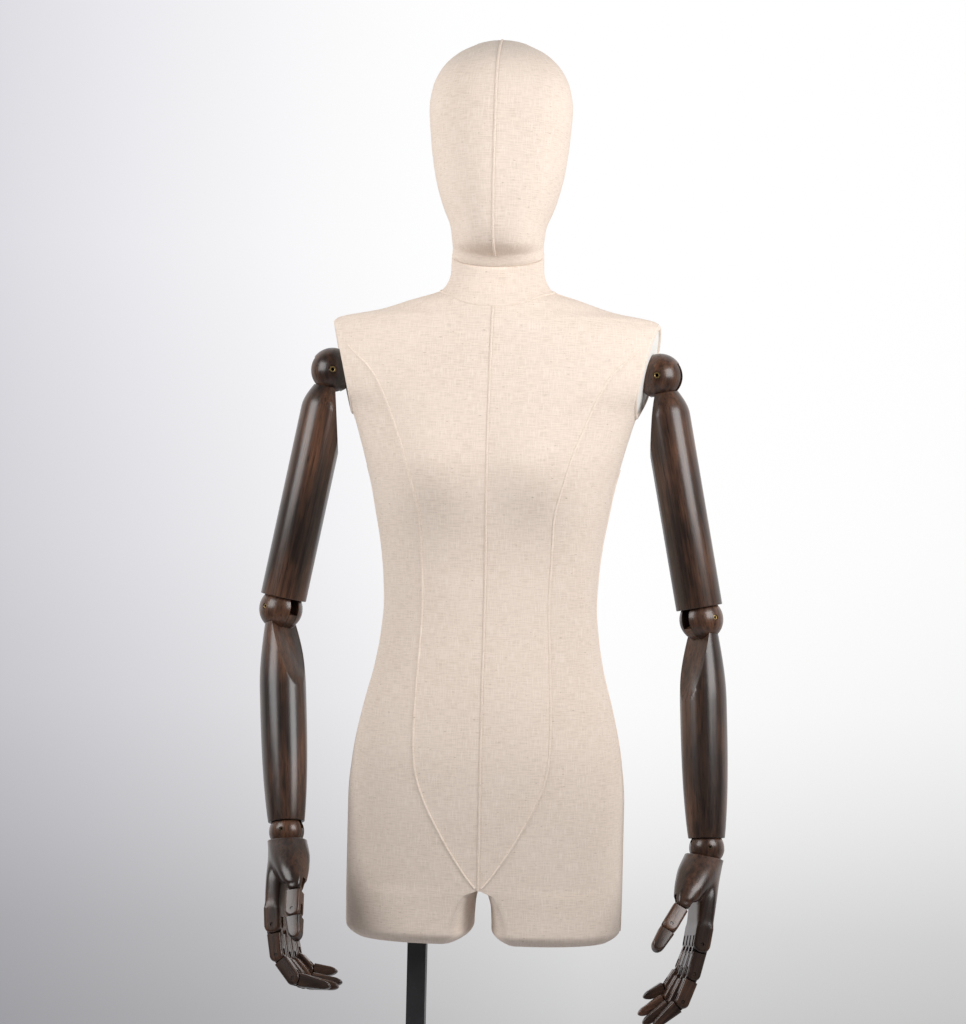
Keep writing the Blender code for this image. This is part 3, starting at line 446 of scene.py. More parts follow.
def slab(outline, thick, edge=0.0, top=None):
    """Flat outline of (x, z) points, thick along Y, its sharp edges rounded but for those at the top."""
    work = bmesh.new()
    front = [work.verts.new((x, -thick / 2, z)) for x, z in outline]
    back = [work.verts.new((x, thick / 2, z)) for x, z in outline]
    work.faces.new(front)
    work.faces.new(back[::-1])
    for i in range(len(outline)):
        j = (i + 1) % len(outline)
        work.faces.new((front[j], front[i], back[i], back[j]))
    bmesh.ops.remove_doubles(work, verts=work.verts[:], dist=TINY)
    if edge:
        sharp = [e for e in work.edges if e.calc_face_angle(0.0) > math.radians(SHARP["slab"])]
        if top is not None:
            sharp = [e for e in sharp if min(v.co.z for v in e.verts) < top - edge]
        bmesh.ops.bevel(work, geom=sharp, offset=edge, segments=4, affect="EDGES", profile=0.5)
    return mesh_of(work)


def arc(radius, start, end, steps, centre=(0.0, 0.0)):
    angles = [math.radians(start + (end - start) * i / steps) for i in range(steps + 1)]
    return [(centre[0] + radius * math.cos(a), centre[1] + radius * math.sin(a)) for a in angles]


def tongue(radius, root, thick):
    return slab(arc(radius, 0, 180, 20) + [(-radius, -root), (radius, -root)], thick)


def fan(joint, root, half_root):
    """Flat tenon that turns in a slotted ball: a hub round the pin, a fan to each side and a root."""
    behind, ahead = joint.fan
    reach = joint.ball - FAN_STEP
    middle = math.degrees(math.asin(half_root / reach))
    outline = arc(joint.hub, -90 + ahead, 270 - behind, 24)
    outline += arc(reach, -90 - behind, -90 - middle, 20)
    outline += [(-half_root, -root), (half_root, -root)]
    outline += arc(reach, -90 + middle, -90 + ahead, 20)
    return slab(outline, joint.tongue)


def fan_slot(joint, back, front):
    """Room in a ball for its tenon's fan, which turns by some degrees to each side."""
    behind = joint.fan[0] + back + FAN_MARGIN
    ahead = joint.fan[1] + front + FAN_MARGIN
    outline = arc(joint.hub + CLEAR, -90 + ahead, 270 - behind, 24)
    outline += arc(FAR, -90 - behind, -90 + ahead, 8)
    return slab(outline, joint.tongue + 2 * CLEAR)


def tenoned(body, joint, root, half_root, reach=FAR):
    """A piece with the tenon that turns in a joint's ball, bored for the pin."""
    return cut(join(body, fan(joint, root, half_root)), bore(joint.pin, reach))


def flat(left, cup, radius, reach):
    """Cutter for a flat on a bar's -X side, from beside the ball that the bar cups to where it runs out."""
    near = -math.sqrt(cup ** 2 - left ** 2)
    lean = math.degrees(math.atan2(radius - left, reach + near))
    return moved(box((-FAR, -FAR, -FAR), (0.0, FAR, FAR)), shift(-left, 0.0, near) @ turn("Y", lean))


def swelling(neck, top, radius, low):
    """Profile of a bar that rounds out from its neck to its full radius."""
    made = []
    for share in np.linspace(0.0, 1.0, 17):
        made.append((neck + (radius - neck) * math.sin(share * math.pi / 2), top + (low - top) * share))
    return made


def rim(radius, end):
    """Profile of a bar's lower end with a sanded edge."""
    return [(radius - EDGE + x, end + EDGE + z) for x, z in arc(EDGE, 0, -90, 4)] + [(0.0, end)]


def skin(work, rows, closed=True):
    """Faces between each row of points and the next."""
    for upper, lower in zip(rows, rows[1:]):
        for i in range(len(upper) if closed else len(upper) - 1):
            j = (i + 1) % len(upper)
            work.faces.new((upper[i], upper[j], lower[j], lower[i]))


def turned_in(section, way):
    """First two sections of cloth that is turned in at the neck seam and goes up or down from there."""
    lip = np.array(section, float)
    lip[1:4] -= NECK_ROUND / MM
    side = np.array(section, float)
    side[0] += way * NECK_ROUND / MM
    return [lip, side]


def signed_power(value, power):
    return math.copysign(abs(value) ** (2 / power), value)


def curve_through(rows, slope, counts):
    """Rows on a smooth curve through some, with a slope at each and a count of steps from it to the next."""
    made = []
    for i, count in enumerate(counts):
        for t in np.arange(count) / count:
            made.append(
                (2 * t ** 3 - 3 * t ** 2 + 1) * rows[i] + (t ** 3 - 2 * t ** 2 + t) * slope[i]
                + (3 * t ** 2 - 2 * t ** 3) * rows[i + 1] + (t ** 3 - t ** 2) * slope[i + 1])
    return made + [rows[-1]]


def finer(table, longest=ROW_STEP):
    """Rows between a table's rows, on smooth curves that never overshoot them."""
    rows = np.array(table, float)
    step = np.diff(rows, axis=0)
    slope = np.zeros_like(rows)
    same = step[:-1] * step[1:] > 0
    total = np.where(same, step[:-1] + step[1:], 1.0)
    slope[1:-1] = np.where(same, 2 * step[:-1] * step[1:] / total, 0.0)
    slope[0] = step[0]
    slope[-1] = step[-1]
    counts = np.ceil(np.abs(step[:, :4]).max(axis=1) / longest).astype(int)
    return curve_through(rows, slope, np.maximum(counts, 1))


def smooth_path(points, steps=8):
    """Finer points on a smooth curve through some."""
    rows = np.array(points, float)
    return curve_through(rows, np.gradient(rows, axis=0), [steps] * (len(rows) - 1))


def run_along(points):
    """Distance of each point from the first, along the line through them."""
    return np.concatenate([[0.0], np.cumsum(np.linalg.norm(np.diff(points, axis=0), axis=1))])


def swell(x, z, fullness, place_x, place_z, spread):
    return fullness * math.exp(-((abs(x) - place_x) ** 2 + (z - place_z) ** 2) / spread ** 2)


def body_point(angle, section):
    """Point of a half torso section: -90 degrees is the front middle, 0 the side, 90 the back middle."""
    height, width, front, back, power, slope = section
    depth = (front if angle < 0 else back) * MM
    x = width * MM * signed_power(math.cos(math.radians(angle)), power)
    share = signed_power(math.sin(math.radians(angle)), power)
    rise = height * MM
    y = share * (depth + swell(x, rise, *(BUST if share < 0 else SEAT)))
    return x, y, rise + (y - NECK_Y) * math.tan(math.radians(slope))


def thigh_point(angle, section, inset):
    height, gap, width, front, back, roundness = section
    inner = gap * MM + inset
    outer = width * MM - inset
    cosine = math.cos(math.radians(angle))
    sine = math.sin(math.radians(angle))
    depth = (front if sine < 0 else back) * MM - inset
    power = TORSO[-1][4]
    flat_x = inner + (outer - inner) * signed_power(max(cosine, 0.0), power)
    round_x = (outer + inner) / 2 + (outer - inner) / 2 * cosine
    flat_y = depth * (signed_power(sine, power) if angle <= 90 else sine)
    x = flat_x + (round_x - flat_x) * roundness
    y = flat_y + (depth * sine - flat_y) * roundness
    return x, y, height * MM


def even_angles(section, count):
    """Angles that space points evenly along a half section."""
    fine = np.linspace(-90, 90, 40 * count + 1)
    points = np.array([body_point(angle, section) for angle in fine])
    run = run_along(points)
    middle = len(fine) // 2
    front = np.interp(np.linspace(0.0, run[middle], count // 2 + 1), run[:middle + 1], fine[:middle + 1])
    back = np.interp(np.linspace(run[middle], run[-1], count // 2 + 1), run[middle:], fine[middle:])
    return list(front) + list(back[1:])


def lay_cloth(mesh, place):
    """Maps a mesh for its cloth: place gives each vertex's distances across and up, in metres.

    Where a face looks up or down, the cloth is laid on it from above instead.
    """
    layer = mesh.uv_layers.new(name="cloth")
    for face in mesh.polygons:
        level = abs(face.normal.z) > LEVEL
        for corner in face.loop_indices:
            vertex = mesh.loops[corner].vertex_index
            co = mesh.vertices[vertex].co
            across, up = (abs(co.x), co.y) if level else place(vertex, co)
            layer.data[corner].uv = (math.copysign(across, face.center.x), up)


def trim_place(vertex, co):
    """Where a vertex of thin trim lies in the cloth."""
    return abs(co.x) + co.y, co.z


def torso_mesh():
    """Torso and thighs as one fine closed mesh, mapped for its cloth."""
    work = bmesh.new()
    across = work.verts.layers.float.new("across")

    def measure(row):
        run = abs(row[0].co.x)
        row[0][across] = run
        for before, after in zip(row, row[1:]):
            run += (after.co - before.co).length
            after[across] = run

    rows = {1: [], -1: []}
    for section in turned_in(TORSO[0], -1) + finer(TORSO)[1:]:
        points = [body_point(angle, section) for angle in even_angles(section, AROUND)]
        left = [work.verts.new((x, y, THIGH_Z + rise)) for x, y, rise in points]
        left[0].co.x = 0.0
        left[-1].co.x = 0.0
        right = [work.verts.new((-v.co.x, v.co.y, v.co.z)) for v in left[1:-1]]
        rows[1].append(left)
        rows[-1].append([left[0]] + right + [left[-1]])
    inside = AROUND // 2
    inner_angles = [90 + 180 * i / inside for i in range(1, inside)]
    front_middle = rows[1][-1][0].co
    back_middle = rows[1][-1][-1].co
    crotch = []
    for angle in inner_angles:
        sine = math.sin(math.radians(angle))
        y = back_middle.y * sine if sine > 0 else -front_middle.y * sine
        crotch.append(work.verts.new((0.0, y, back_middle.z)))
    thigh_rows = [(row, 0.0) for row in finer(THIGH)]
    for lift in np.linspace(1.0, 0.0, 9):
        drawn = THIGH_FILLET * (1.0 - lift) ** 2
        thigh_rows.append(((lift * THIGH_FILLET / MM, *THIGH[-1][1:]), drawn))
    thigh_angles = even_angles(TORSO[-1], AROUND) + inner_angles
    for sign, half in rows.items():
        skin(work, half, closed=False)
        for row in half:
            measure(row)
        rings = [half[-1] + crotch]
        for section, drawn in thigh_rows:
            points = [thigh_point(angle, section, drawn) for angle in thigh_angles]
            rings.append([work.verts.new((sign * x, y, THIGH_Z + rise)) for x, y, rise in points])
            measure(rings[-1])
        skin(work, rings)
        work.faces.new(rings[-1])
    work.faces.new(rows[1][0] + rows[-1][0][-2:0:-1])
    mesh = mesh_of(work)
    run = [item.value for item in mesh.attributes["across"].data]
    lay_cloth(mesh, lambda vertex, co: (run[vertex], co.z))
    mesh.attributes.remove(mesh.attributes["across"])
    return mesh


def armhole_frame():
    return shift(ARMHOLE_X, ARMHOLE_Y, ARMHOLE_Z) @ turn("Z", -ARMHOLE_TURN) @ turn("Y", ARMHOLE_TILT)


def sided(matrix, side):
    return matrix if side == "left" else FLIP @ matrix @ FLIP


def neck_frame():
    return shift(0.0, NECK_Y, NECK_Z) @ turn("X", NECK_TILT)


def torso():
    """Cloth-covered torso with capped armholes and the hole that the pole goes through."""
    half = POLE_SIDE / 2 + CLEAR
    tools = [box((POLE_X - half, POLE_Y - half, 0.0), (POLE_X + half, POLE_Y + half, THIGH_Z + POLE_HOLE))]
    for side in POSE:
        board = box((0.0, -FAR, -BOARD_BELOW), (FAR, FAR, FAR))
        if side == "right":
            moved(board, FLIP)
            board.flip_normals()
        sleeve = rod(SLEEVE_RADIUS + CLEAR, -SLEEVE_LENGTH, SLEEVE_LENGTH, "X")
        tools += [moved(tool, sided(armhole_frame(), side)) for tool in (board, sleeve)]
    tools.append(moved(rod(NECK_HOLE, -PLUG_THICK - CLEAR, NECK_CUT, "Z", SIDES), neck_frame()))
    return cut(torso_mesh(), *tools)


def cap_faces(mesh, side):
    """Faces of a torso that lie in an armhole's plane."""
    frame_in = sided(armhole_frame(), side).inverted()
    made = []
    for face in mesh.polygons:
        middle = frame_in @ face.center
        if abs(middle.x) < CLEAR / 10 and abs(middle.y) < FAR and -BOARD_BELOW < middle.z < FAR:
            made.append(face)
    return made


def outline_of(faces):
    """Edge points of a patch of faces, in order."""
    count = {}
    for face in faces:
        corners = list(face.vertices)
        for pair in zip(corners, corners[1:] + corners[:1]):
            count[pair] = count.get(pair, 0) + 1
    following = {a: b for a, b in count if (b, a) not in count}
    start = next(iter(following))
    made = [start]
    while following[made[-1]] != start:
        made.append(following[made[-1]])
    return made


def hem(mesh, cap):
    """Rolled edge round a cap: a closed cord sunk into the corner."""
    corner = [mesh.vertices[i].co for i in outline_of(cap)]
    middle = sum(corner, Vector()) / len(corner)
    curve = bpy.data.curves.new("hem", "CURVE")
    curve.dimensions = "3D"
    curve.bevel_depth = HEM
    curve.bevel_resolution = 4
    spline = curve.splines.new("POLY")
    spline.points.add(len(corner) - 1)
    for point, place in zip(spline.points, corner):
        sunk = place + ((middle - place).normalized() - cap[0].normal) * HEM * HEM_SUNK
        point.co = (*sunk, 1.0)
    spline.use_cyclic_u = True
    mesh = shaped(curve)
    lay_cloth(mesh, trim_place)
    return mesh


def head():
    """Smooth egg head, its cloth turned in at the neck seam, with a hole for the spigot."""
    neck = (0, *TORSO[0][1:4], NECK_TILT)
    low = NECK_Z + CLEAR
    count = 2 * AROUND
    rings = []
    for height, width, front, back, slope in turned_in(neck, 1) + finer((neck, *HEAD))[1:]:
        ring = []
        for i in range(count):
            angle = 2 * math.pi * i / count - math.pi / 2
            y = (back if math.sin(angle) > 0 else front) * math.sin(angle)
            z = height + (y - NECK_Y / MM) * math.tan(math.radians(slope))
            ring.append(Vector((width * MM * math.cos(angle), y * MM, low + z * MM)))
        rings.append(ring)
    crown = Vector((0.0, HEAD_TOP[0] * MM, low + HEAD_TOP[1] * MM))
    last = rings[-1]
    for draw in np.linspace(1.0, 0.0, 8)[1:-1]:
        ring = []
        for point in last:
            place = crown.lerp(point, draw)
            place.z = crown.z - (crown.z - point.z) * draw ** 2
            ring.append(place)
        rings.append(ring)
    work = bmesh.new()
    rows = [[work.verts.new(place) for place in ring] for ring in rings]
    skin(work, rows)
    work.faces.new(rows[0])
    top = work.verts.new(crown)
    for i, point in enumerate(rows[-1]):
        work.faces.new((point, rows[-1][(i + 1) % count], top))
    mesh = mesh_of(work)
    lay_cloth(mesh, lambda vertex, co: (HEAD_GIRTH * math.atan2(abs(co.x), -co.y), co.z))
    spigot = rod(SPIGOT_RADIUS + CLEAR, -SPIGOT_LENGTH, SPIGOT_LENGTH + CLEAR)
    return cut(mesh, moved(spigot, neck_frame()))


def surface_of(mesh):
    return BVHTree.FromPolygons([v.co for v in mesh.vertices], [tuple(p.vertices) for p in mesh.polygons])


def bead(surface, path, closed=False):
    """Rounded ridge along points near a surface, laid on it."""
    points = [tuple(p) for p in path]
    if closed:
        points.append(points[0])
    points = np.array(points)
    run = run_along(points)
    at = np.linspace(0.0, run[-1], max(4, round(run[-1] / SEAM_STEP)) + 1)
    even = np.stack([np.interp(at, run, points[:, k]) for k in range(3)], axis=1)
    if closed:
        even = even[:-1]
    laid = [surface.find_nearest(Vector(p))[:2] for p in even]
    work = bmesh.new()
    rings = []
    for i, (place, normal) in enumerate(laid):
        before = laid[i - 1][0] if closed or i else place
        after = laid[(i + 1) % len(laid)][0] if closed or i < len(laid) - 1 else place
        aside = (after - before).cross(normal).normalized() * SEAM_WIDTH
        up = normal * SEAM_HEIGHT
        rings.append([work.verts.new(place + aside * s + up * t) for s, t in SEAM_PROFILE])
    skin(work, rings)
    if closed:
        skin(work, (rings[-1], rings[0]))
    else:
        work.faces.new(rings[0])
        work.faces.new(rings[-1])
    mesh = mesh_of(work)
    lay_cloth(mesh, trim_place)
    return mesh


def upright(high, low):
    """Points down the body's axis."""
    return [(0.0, 0.0, z) for z in np.linspace(high, low, 60)]


def seen_from(surface, direction, points):
    """Points on a surface where lines along a direction first meet it."""
    way = Vector(direction)
    met = [surface.ray_cast(Vector(point) - way, way)[0] for point in points]
    return [place for place in met if place is not None]


def shoulder_block():
    """Ball flat against the armhole and slotted for the upper arm, in the armhole's frame."""
    low, high = RAISE_LIMITS
    block = cut(ball(SHOULDER.ball), fan_slot(SHOULDER, -low, high), bore(SHOULDER.pin))
    board = box((-FAR, -FAR, -FAR), (CLEAR, FAR, FAR))
    stud = rod(SHOULDER.stud + CLEAR, -FAR, SHOULDER_FLOOR - SHOULDER.stud / 5, "X")
    return cut(moved(block, shift(SHOULDER_PIN_X)), board, stud)


def dished_pin(radius, half_length):
    """Tube rivet along Y, rolled over at both ends, its hollow in the second material, a dark one that paints
    the shade inside it.
    """
    lip = radius * RIVET_LIP
    hole = radius * RIVET_HOLE
    side = [(hole, half_length - radius), (hole, half_length - lip)]
    side += [(hole + lip + x, half_length - lip + z) for x, z in arc(lip, 180, 90, 4)[1:]]
    side += [(radius - lip + x, half_length - lip + z) for x, z in arc(lip, 90, 0, 4)]
    profile = [(0.0, half_length - radius)] + side + [(r, -z) for r, z in side[::-1]]
    profile.append((0.0, -half_length + radius))
    mesh = turned(profile, PIN_FACETS)
    for face in mesh.polygons:
        # Faces in the hollow get the dark material that paints its shade
        if face.center.to_2d().length < hole:
            face.material_index = 1
    return moved(mesh, turn("X", -90))


def limb(bar, near, far, half_root):
    """Bar cupped at both ends, with a fan tenon and a flat at its top, in the frame of the joint above it."""
    cup = near.ball + CUP_GAP
    neck = -math.sqrt(cup ** 2 - bar.neck ** 2)
    end = -bar.length + bar.rim
    profile = [(0.0, neck)] + swelling(bar.neck, neck, bar.radius, -bar.swell)
    if bar.end < bar.radius:
        for share in np.linspace(0.0, 1.0, 17)[1:-1]:
            radius = bar.radius + (bar.end - bar.radius) * share ** FOREARM_TAPER
            profile.append((radius, -bar.swell + (end + bar.swell) * share))
    profile += rim(bar.end, end)
    facet = flat(bar.flat, cup, bar.radius, bar.flat_end)
    socket = moved(ball(far.ball + CUP_GAP), shift(z=-bar.length))
    stud = rod(far.stud + CLEAR, -bar.length, -bar.length + far.ball + bar.stud + CLEAR)
    body = cut(turned(profile), ball(cup), facet, socket, stud)
    return tenoned(body, near, cup + near.hub, half_root)


def upper_arm():
    """Round bar from the shoulder to the elbow."""
    return limb(UPPER, SHOULDER, ELBOW, UPPER.flat - FAN_STEP)


def elbow_ball():
    """Ball slotted for the forearm's fan, bored for its pin and its stud, in the elbow's frame."""
    hole = rod(ELBOW.stud + CLEAR, ELBOW.hub + STUD_STEP, FAR)
    return cut(ball(ELBOW.ball), hole, fan_slot(ELBOW, ELBOW_LIMIT, 0.0), bore(ELBOW.pin))


def forearm():
    """Tapered bar from the elbow to the wrist."""
    return limb(FOREARM, ELBOW, WRIST, FOREARM.flat)


def wrist_ball():
    """Ball with its own dowel, slotted for the palm's fan, in the wrist's frame."""
    back, front = WRIST_LIMITS
    dowel = rod(WRIST.stud, WRIST.hub + STUD_STEP, WRIST.ball + FOREARM.stud)
    return cut(join(ball(WRIST.ball), dowel), fan_slot(WRIST, front, back), bore(WRIST.pin))


def knuckle(round_end, width, root):
    """End of a fork: a bar with a round end about the pin at the origin, reaching up to height root."""
    return slab(arc(round_end, 0, -180, 16) + [(-round_end, root), (round_end, root)], width, FINGER_EDGE)


def fork_slot(round_end):
    """Slot that takes the next segment's tongue, about the pin at the origin."""
    half = FINGER_TONGUE / 2 + CLEAR
    top = round_end - TONGUE_STEP + CLEAR
    return box((-2 * round_end, -half, -2 * round_end), (2 * round_end, half, top))


def segment(length, width, thick, hub, taper):
    """Finger segment from the pin at the origin down: a tongue above, a fork or a tapered tip below."""
    half = thick / 2
    top = -hub - FOLD_GAP
    centre = -length + half if taper else -length
    outline = [(-half, top), (half, top)] + arc(half, 0, -180, 20, (0.0, centre))
    body = slab(outline, width, FINGER_EDGE, top)
    if taper:
        for point in body.vertices:
            share = 1.0 - taper * (top - point.co.z) / (top + length)
            point.co.x *= share
            point.co.y *= share
    else:
        tools = (fork_slot(half), bore(FINGER_PIN, width))
        body = cut(body, *[moved(tool, shift(z=-length)) for tool in tools])
    tenon = tongue(hub - TONGUE_STEP, -top + FINGER_EDGE, FINGER_TONGUE)
    pin_end = (width - FINGER_GAP) / 2
    return join(body, tenon, rod(FINGER_PIN, -pin_end, pin_end, "Y"))


def knuckle_place(name):
    return shift(PALM_OFFSET, FINGERS[name][0] * FINGER_PITCH, -PALM_LENGTH)


def thumb_place():
    return shift(THUMB_X, THUMB_Y, -THUMB_DROP) @ turn("X", -THUMB_SPLAY)


def loft(sections):
    """Closed form through sections: height, middle in x and y, half thickness, half width, squareness."""
    work = bmesh.new()
    rows = []
    for z, x, y, deep, wide, power in finer(sections, PALM_STEP):
        row = []
        for i in range(SIDES):
            angle = 2 * math.pi * (i + 0.5) / SIDES
            place_x = x + deep * signed_power(math.cos(angle), power)
            place_y = y + wide * signed_power(math.sin(angle), power)
            row.append(work.verts.new((place_x, place_y, z)))
        rows.append(row)
    skin(work, rows)
    work.faces.new(rows[0])
    work.faces.new(rows[-1])
    return mesh_of(work)


def sanded(mesh, low, high, rounds):
    """Mesh smoothed between two heights."""
    work = bmesh.new()
    work.from_mesh(mesh)
    band = [v for v in work.verts if low < v.co.z < high]
    for _ in range(rounds):
        bmesh.ops.smooth_vert(work, verts=band, factor=0.5, use_axis_x=True, use_axis_y=True, use_axis_z=True)
    return mesh_of(work)


def palm():
    """Palm carved as one smooth form with the mound that carries the thumb, then cupped and slotted."""
    across = 2 * FINGER_PITCH
    root = -PALM_LENGTH + PALM_THICK
    fall = -FOREARM.rim - root
    sections = []
    for rows, deep, wide in ((PALM_WRIST, FOREARM.end, FOREARM.end), (PALM_BODY, PALM_ROUND, across)):
        for way, aside, thick, width, power in rows:
            size = (deep * thick, wide * width)
            sections.append((-FOREARM.rim - fall * way, PALM_OFFSET * aside, 0.0, *size, power))
    thumb_fall = THUMB_DROP - THUMB_STEP - FOREARM.rim
    mound = []
    for way, aside, thick, width in MOUND:
        size = (FOREARM.end * thick, FOREARM.end * width)
        mound.append((-FOREARM.rim - thumb_fall * way, THUMB_X * aside, THUMB_Y * aside, *size, MOUND_POWER))
    comb = moved(knuckle(PALM_ROUND, 2 * across, COMB_ROOT), shift(PALM_OFFSET, z=-PALM_LENGTH))
    stub = moved(knuckle(THUMB_ROUND, THUMB_WIDTH, THUMB_ROUND + FINGER_EDGE), thumb_place())
    body = join(loft(sections), loft(mound), stub, comb)
    body = shaped(body, ("REMESH", {"mode": "VOXEL", "voxel_size": VOXEL}))
    body = sanded(body, -FAR, FAR, SANDED)
    body = sanded(body, root, -FOREARM.rim - 2 * EDGE, CARVED)
    cuts = [moved(fork_slot(PALM_ROUND), knuckle_place(name)) for name in FINGERS]
    cuts.append(moved(bore(FINGER_PIN, 2 * across), shift(PALM_OFFSET, z=-PALM_LENGTH)))
    cuts += [moved(tool, thumb_place()) for tool in (fork_slot(THUMB_ROUND), bore(FINGER_PIN, THUMB_ROUND))]
    body = cut(body, ball(WRIST.ball + CUP_GAP), *cuts)
    return tenoned(body, WRIST, WRIST.ball + WRIST.hub, WRIST.hub, PALM_BORE)


def arm_meshes():
    """Every shown piece of the left arm, each in the frame of the joint that carries it."""
    shoulder_pin = dished_pin(SHOULDER.pin, SHOULDER.ball - SHOULDER.pin / 4)
    made = {
        "shoulder_block": shoulder_block(),
        "shoulder_pin": moved(shoulder_pin, shift(SHOULDER_PIN_X)),
        "upper_arm": upper_arm(),
        "elbow_ball": elbow_ball(),
        "elbow_pin": dished_pin(ELBOW.pin, ELBOW.ball - ELBOW.pin / 3),
        "forearm": forearm(),
        "wrist_ball": wrist_ball(),
        "wrist_pin": dished_pin(WRIST.pin, WRIST.ball - WRIST.pin / 3),
        "palm": palm(),
        "thumb_proximal": segment(THUMB_LENGTHS[0], THUMB_WIDTH, THUMB_WIDTH, THUMB_ROUND, 0.0),
        "thumb_distal": segment(THUMB_LENGTHS[1], THUMB_WIDTH, THUMB_WIDTH, THUMB_ROUND, THUMB_TAPER),
    }
    for name, (_, lengths) in FINGERS.items():
        for segment_name, length in zip(SEGMENT_NAMES, lengths):
            hub = PALM_ROUND if segment_name == "proximal" else FINGER_ROUND
            taper = FINGER_TAPER if segment_name == "distal" else 0.0
            made[f"{name}_{segment_name}"] = segment(length, FINGER_WIDTH, FINGER_THICK, hub, taper)
    return made


def arm_frames(side):
    """Where each piece of an arm sits in the rest pose, and the body that carries it."""
    pose = POSE[side]
    swing = armhole_frame()
    lift = swing @ shift(SHOULDER_PIN_X) @ turn("Y", -pose["raise"])
    elbow = lift @ shift(z=-UPPER.length) @ turn("Z", pose["elbow_turn"])
    bend = elbow @ turn("Y", pose["elbow_bend"])
    wrist = bend @ shift(z=-FOREARM.length) @ turn("Z", pose["wrist_turn"])
    hand = wrist @ turn("Y", pose["wrist_bend"])
    made = {
        "shoulder_block": (swing, "shoulder"), "shoulder_pin": (swing, "shoulder"),
        "upper_arm": (lift, "upper_arm"),
        "elbow_ball": (elbow, "elbow"), "elbow_pin": (elbow, "elbow"),
        "forearm": (bend, "forearm"),
        "wrist_ball": (wrist, "wrist"), "wrist_pin": (wrist, "wrist"),
        "palm": (hand, "palm"),
    }
    chains = {name: (knuckle_place(name), SEGMENT_NAMES, lengths) for name, (_, lengths) in FINGERS.items()}
    chains["thumb"] = (thumb_place(), ("proximal", "distal"), THUMB_LENGTHS)
    for name, (start, segment_names, lengths) in chains.items():
        at = hand
        for segment_name, length, fold in zip(segment_names, lengths, pose[name]):
            at = at @ start @ turn("Y", fold)
            made[f"{name}_{segment_name}"] = (at, f"{name}_{segment_name}")
            start = shift(z=-length)
    return {key: (sided(matrix, side), f"{side}_{body}") for key, (matrix, body) in made.items()}


class Nodes:
    """Short way to write the nodes of a material or a world."""

    def __init__(self, owner):
        owner.use_nodes = True
        self.owner = owner
        self.tree = owner.node_tree

    def add(self, kind, inputs=None, **settings):
        node = self.tree.nodes.new(kind)
        for key, value in settings.items():
            setattr(node, key, value)
        for key, value in (inputs or {}).items():
            self.put(node, key, value)
        return node

    def put(self, node, key, value):
        if isinstance(value, bpy.types.NodeSocket):
            self.tree.links.new(value, node.inputs[key])
        else:
            node.inputs[key].default_value = value

    def math(self, operation, a, b):
        return self.add("ShaderNodeMath", {0: a, 1: b}, operation=operation).outputs[0]

    def span(self, value, start, end, low=0.0, high=1.0):
        """Value carried from one range to another."""
        return self.add("ShaderNodeMapRange", {
            "Value": value, "From Min": start, "From Max": end, "To Min": low, "To Max": high}).outputs[0]

    def tint(self, colour, other, value, start, end, most):
        """Colour with another laid over it where a value is high."""
        return self.mix(self.ramp(value, (start, grey(0)), (end, grey(most))), colour, other)

    def noise(self, vector, stretch, detail=3.0, roughness=0.55):
        placed = self.add("ShaderNodeMapping", {"Vector": vector, "Scale": stretch}).outputs[0]
        return self.add("ShaderNodeTexNoise", {
            "Vector": placed, "Scale": 1.0, "Detail": detail, "Roughness": roughness}).outputs["Fac"]

    def ramp(self, value, *stops):
        node = self.add("ShaderNodeValToRGB", {"Fac": value})
        while len(node.color_ramp.elements) < len(stops):
            node.color_ramp.elements.new(1.0)
        for element, (place, colour) in zip(node.color_ramp.elements, stops):
            element.position = place
            element.color = (*colour, 1.0)
        return node.outputs["Color"]

    def mix(self, share, a, b, blend="MIX"):
        node = self.add("ShaderNodeMix", {0: share}, data_type="RGBA", blend_type=blend)
        for place, value in ((6, a), (7, b)):
            self.put(node, place, value if isinstance(value, bpy.types.NodeSocket) else (*value, 1.0))
        return node.outputs[2]

    def surface(self, **values):
        """Sets a material's surface: colour, roughness and so on, by its inputs' names."""
        for key, value in values.items():
            if isinstance(value, tuple):
                value = (*value, 1.0)
            self.put(self.tree.nodes["Principled BSDF"], key.replace("_", " "), value)

    def bump(self, height, strength, distance):
        node = self.add("ShaderNodeBump", {"Height": height, "Strength": strength, "Distance": distance})
        self.surface(Normal=node.outputs[0])


def painted(name):
    """Nodes of a new material, and the place on a piece that they go by."""
    n = Nodes(bpy.data.materials.new(name))
    return n, n.add("ShaderNodeTexCoord").outputs["Object"]


def linen_material(name, light):
    """Natural linen: a fine plain weave with slubs both ways and a few dark flecks, its base, deep and pale
    colours scaled by light, which paints a highlight above 1.
    """
    n = Nodes(bpy.data.materials.new(name))
    at = n.add("ShaderNodeUVMap", uv_map="cloth").outputs[0]
    weft = n.noise(at, (70, 900, 1), 2.0)
    warp = n.noise(at, (900, 70, 1), 2.0)
    broad = n.noise(at, (14, 14, 1), 2.0)
    fleck = n.noise(at, (160, 480, 1), 1.0)
    base, deep, pale = [tuple(c * light for c in colour) for colour in (LINEN, LINEN_DEEP, LINEN_PALE)]
    colour = n.tint(base, deep, weft, 0.42, 0.68, 0.8)
    colour = n.tint(colour, pale, warp, 0.48, 0.70, 0.8)
    colour = n.tint(colour, pale, broad, 0.3, 0.7, 0.25)
    colour = n.tint(colour, LINEN_FLECK, fleck, 0.70, 0.80, 0.5)
    threads = []
    for direction in ("X", "Y"):
        wave = n.add("ShaderNodeTexWave", {"Vector": at, "Scale": 220.0, "Distortion": 1.2, "Detail": 1.0},
                     bands_direction=direction)
        threads.append(wave.outputs["Fac"])
    weave = n.math("ADD", n.math("MULTIPLY", *threads), n.math("ADD", weft, warp))
    n.bump(weave, 0.35, 0.0004)
    n.surface(Base_Color=colour, Roughness=0.9, Specular_IOR_Level=0.2, Sheen_Weight=0.1, Sheen_Roughness=0.5)
    return n.owner


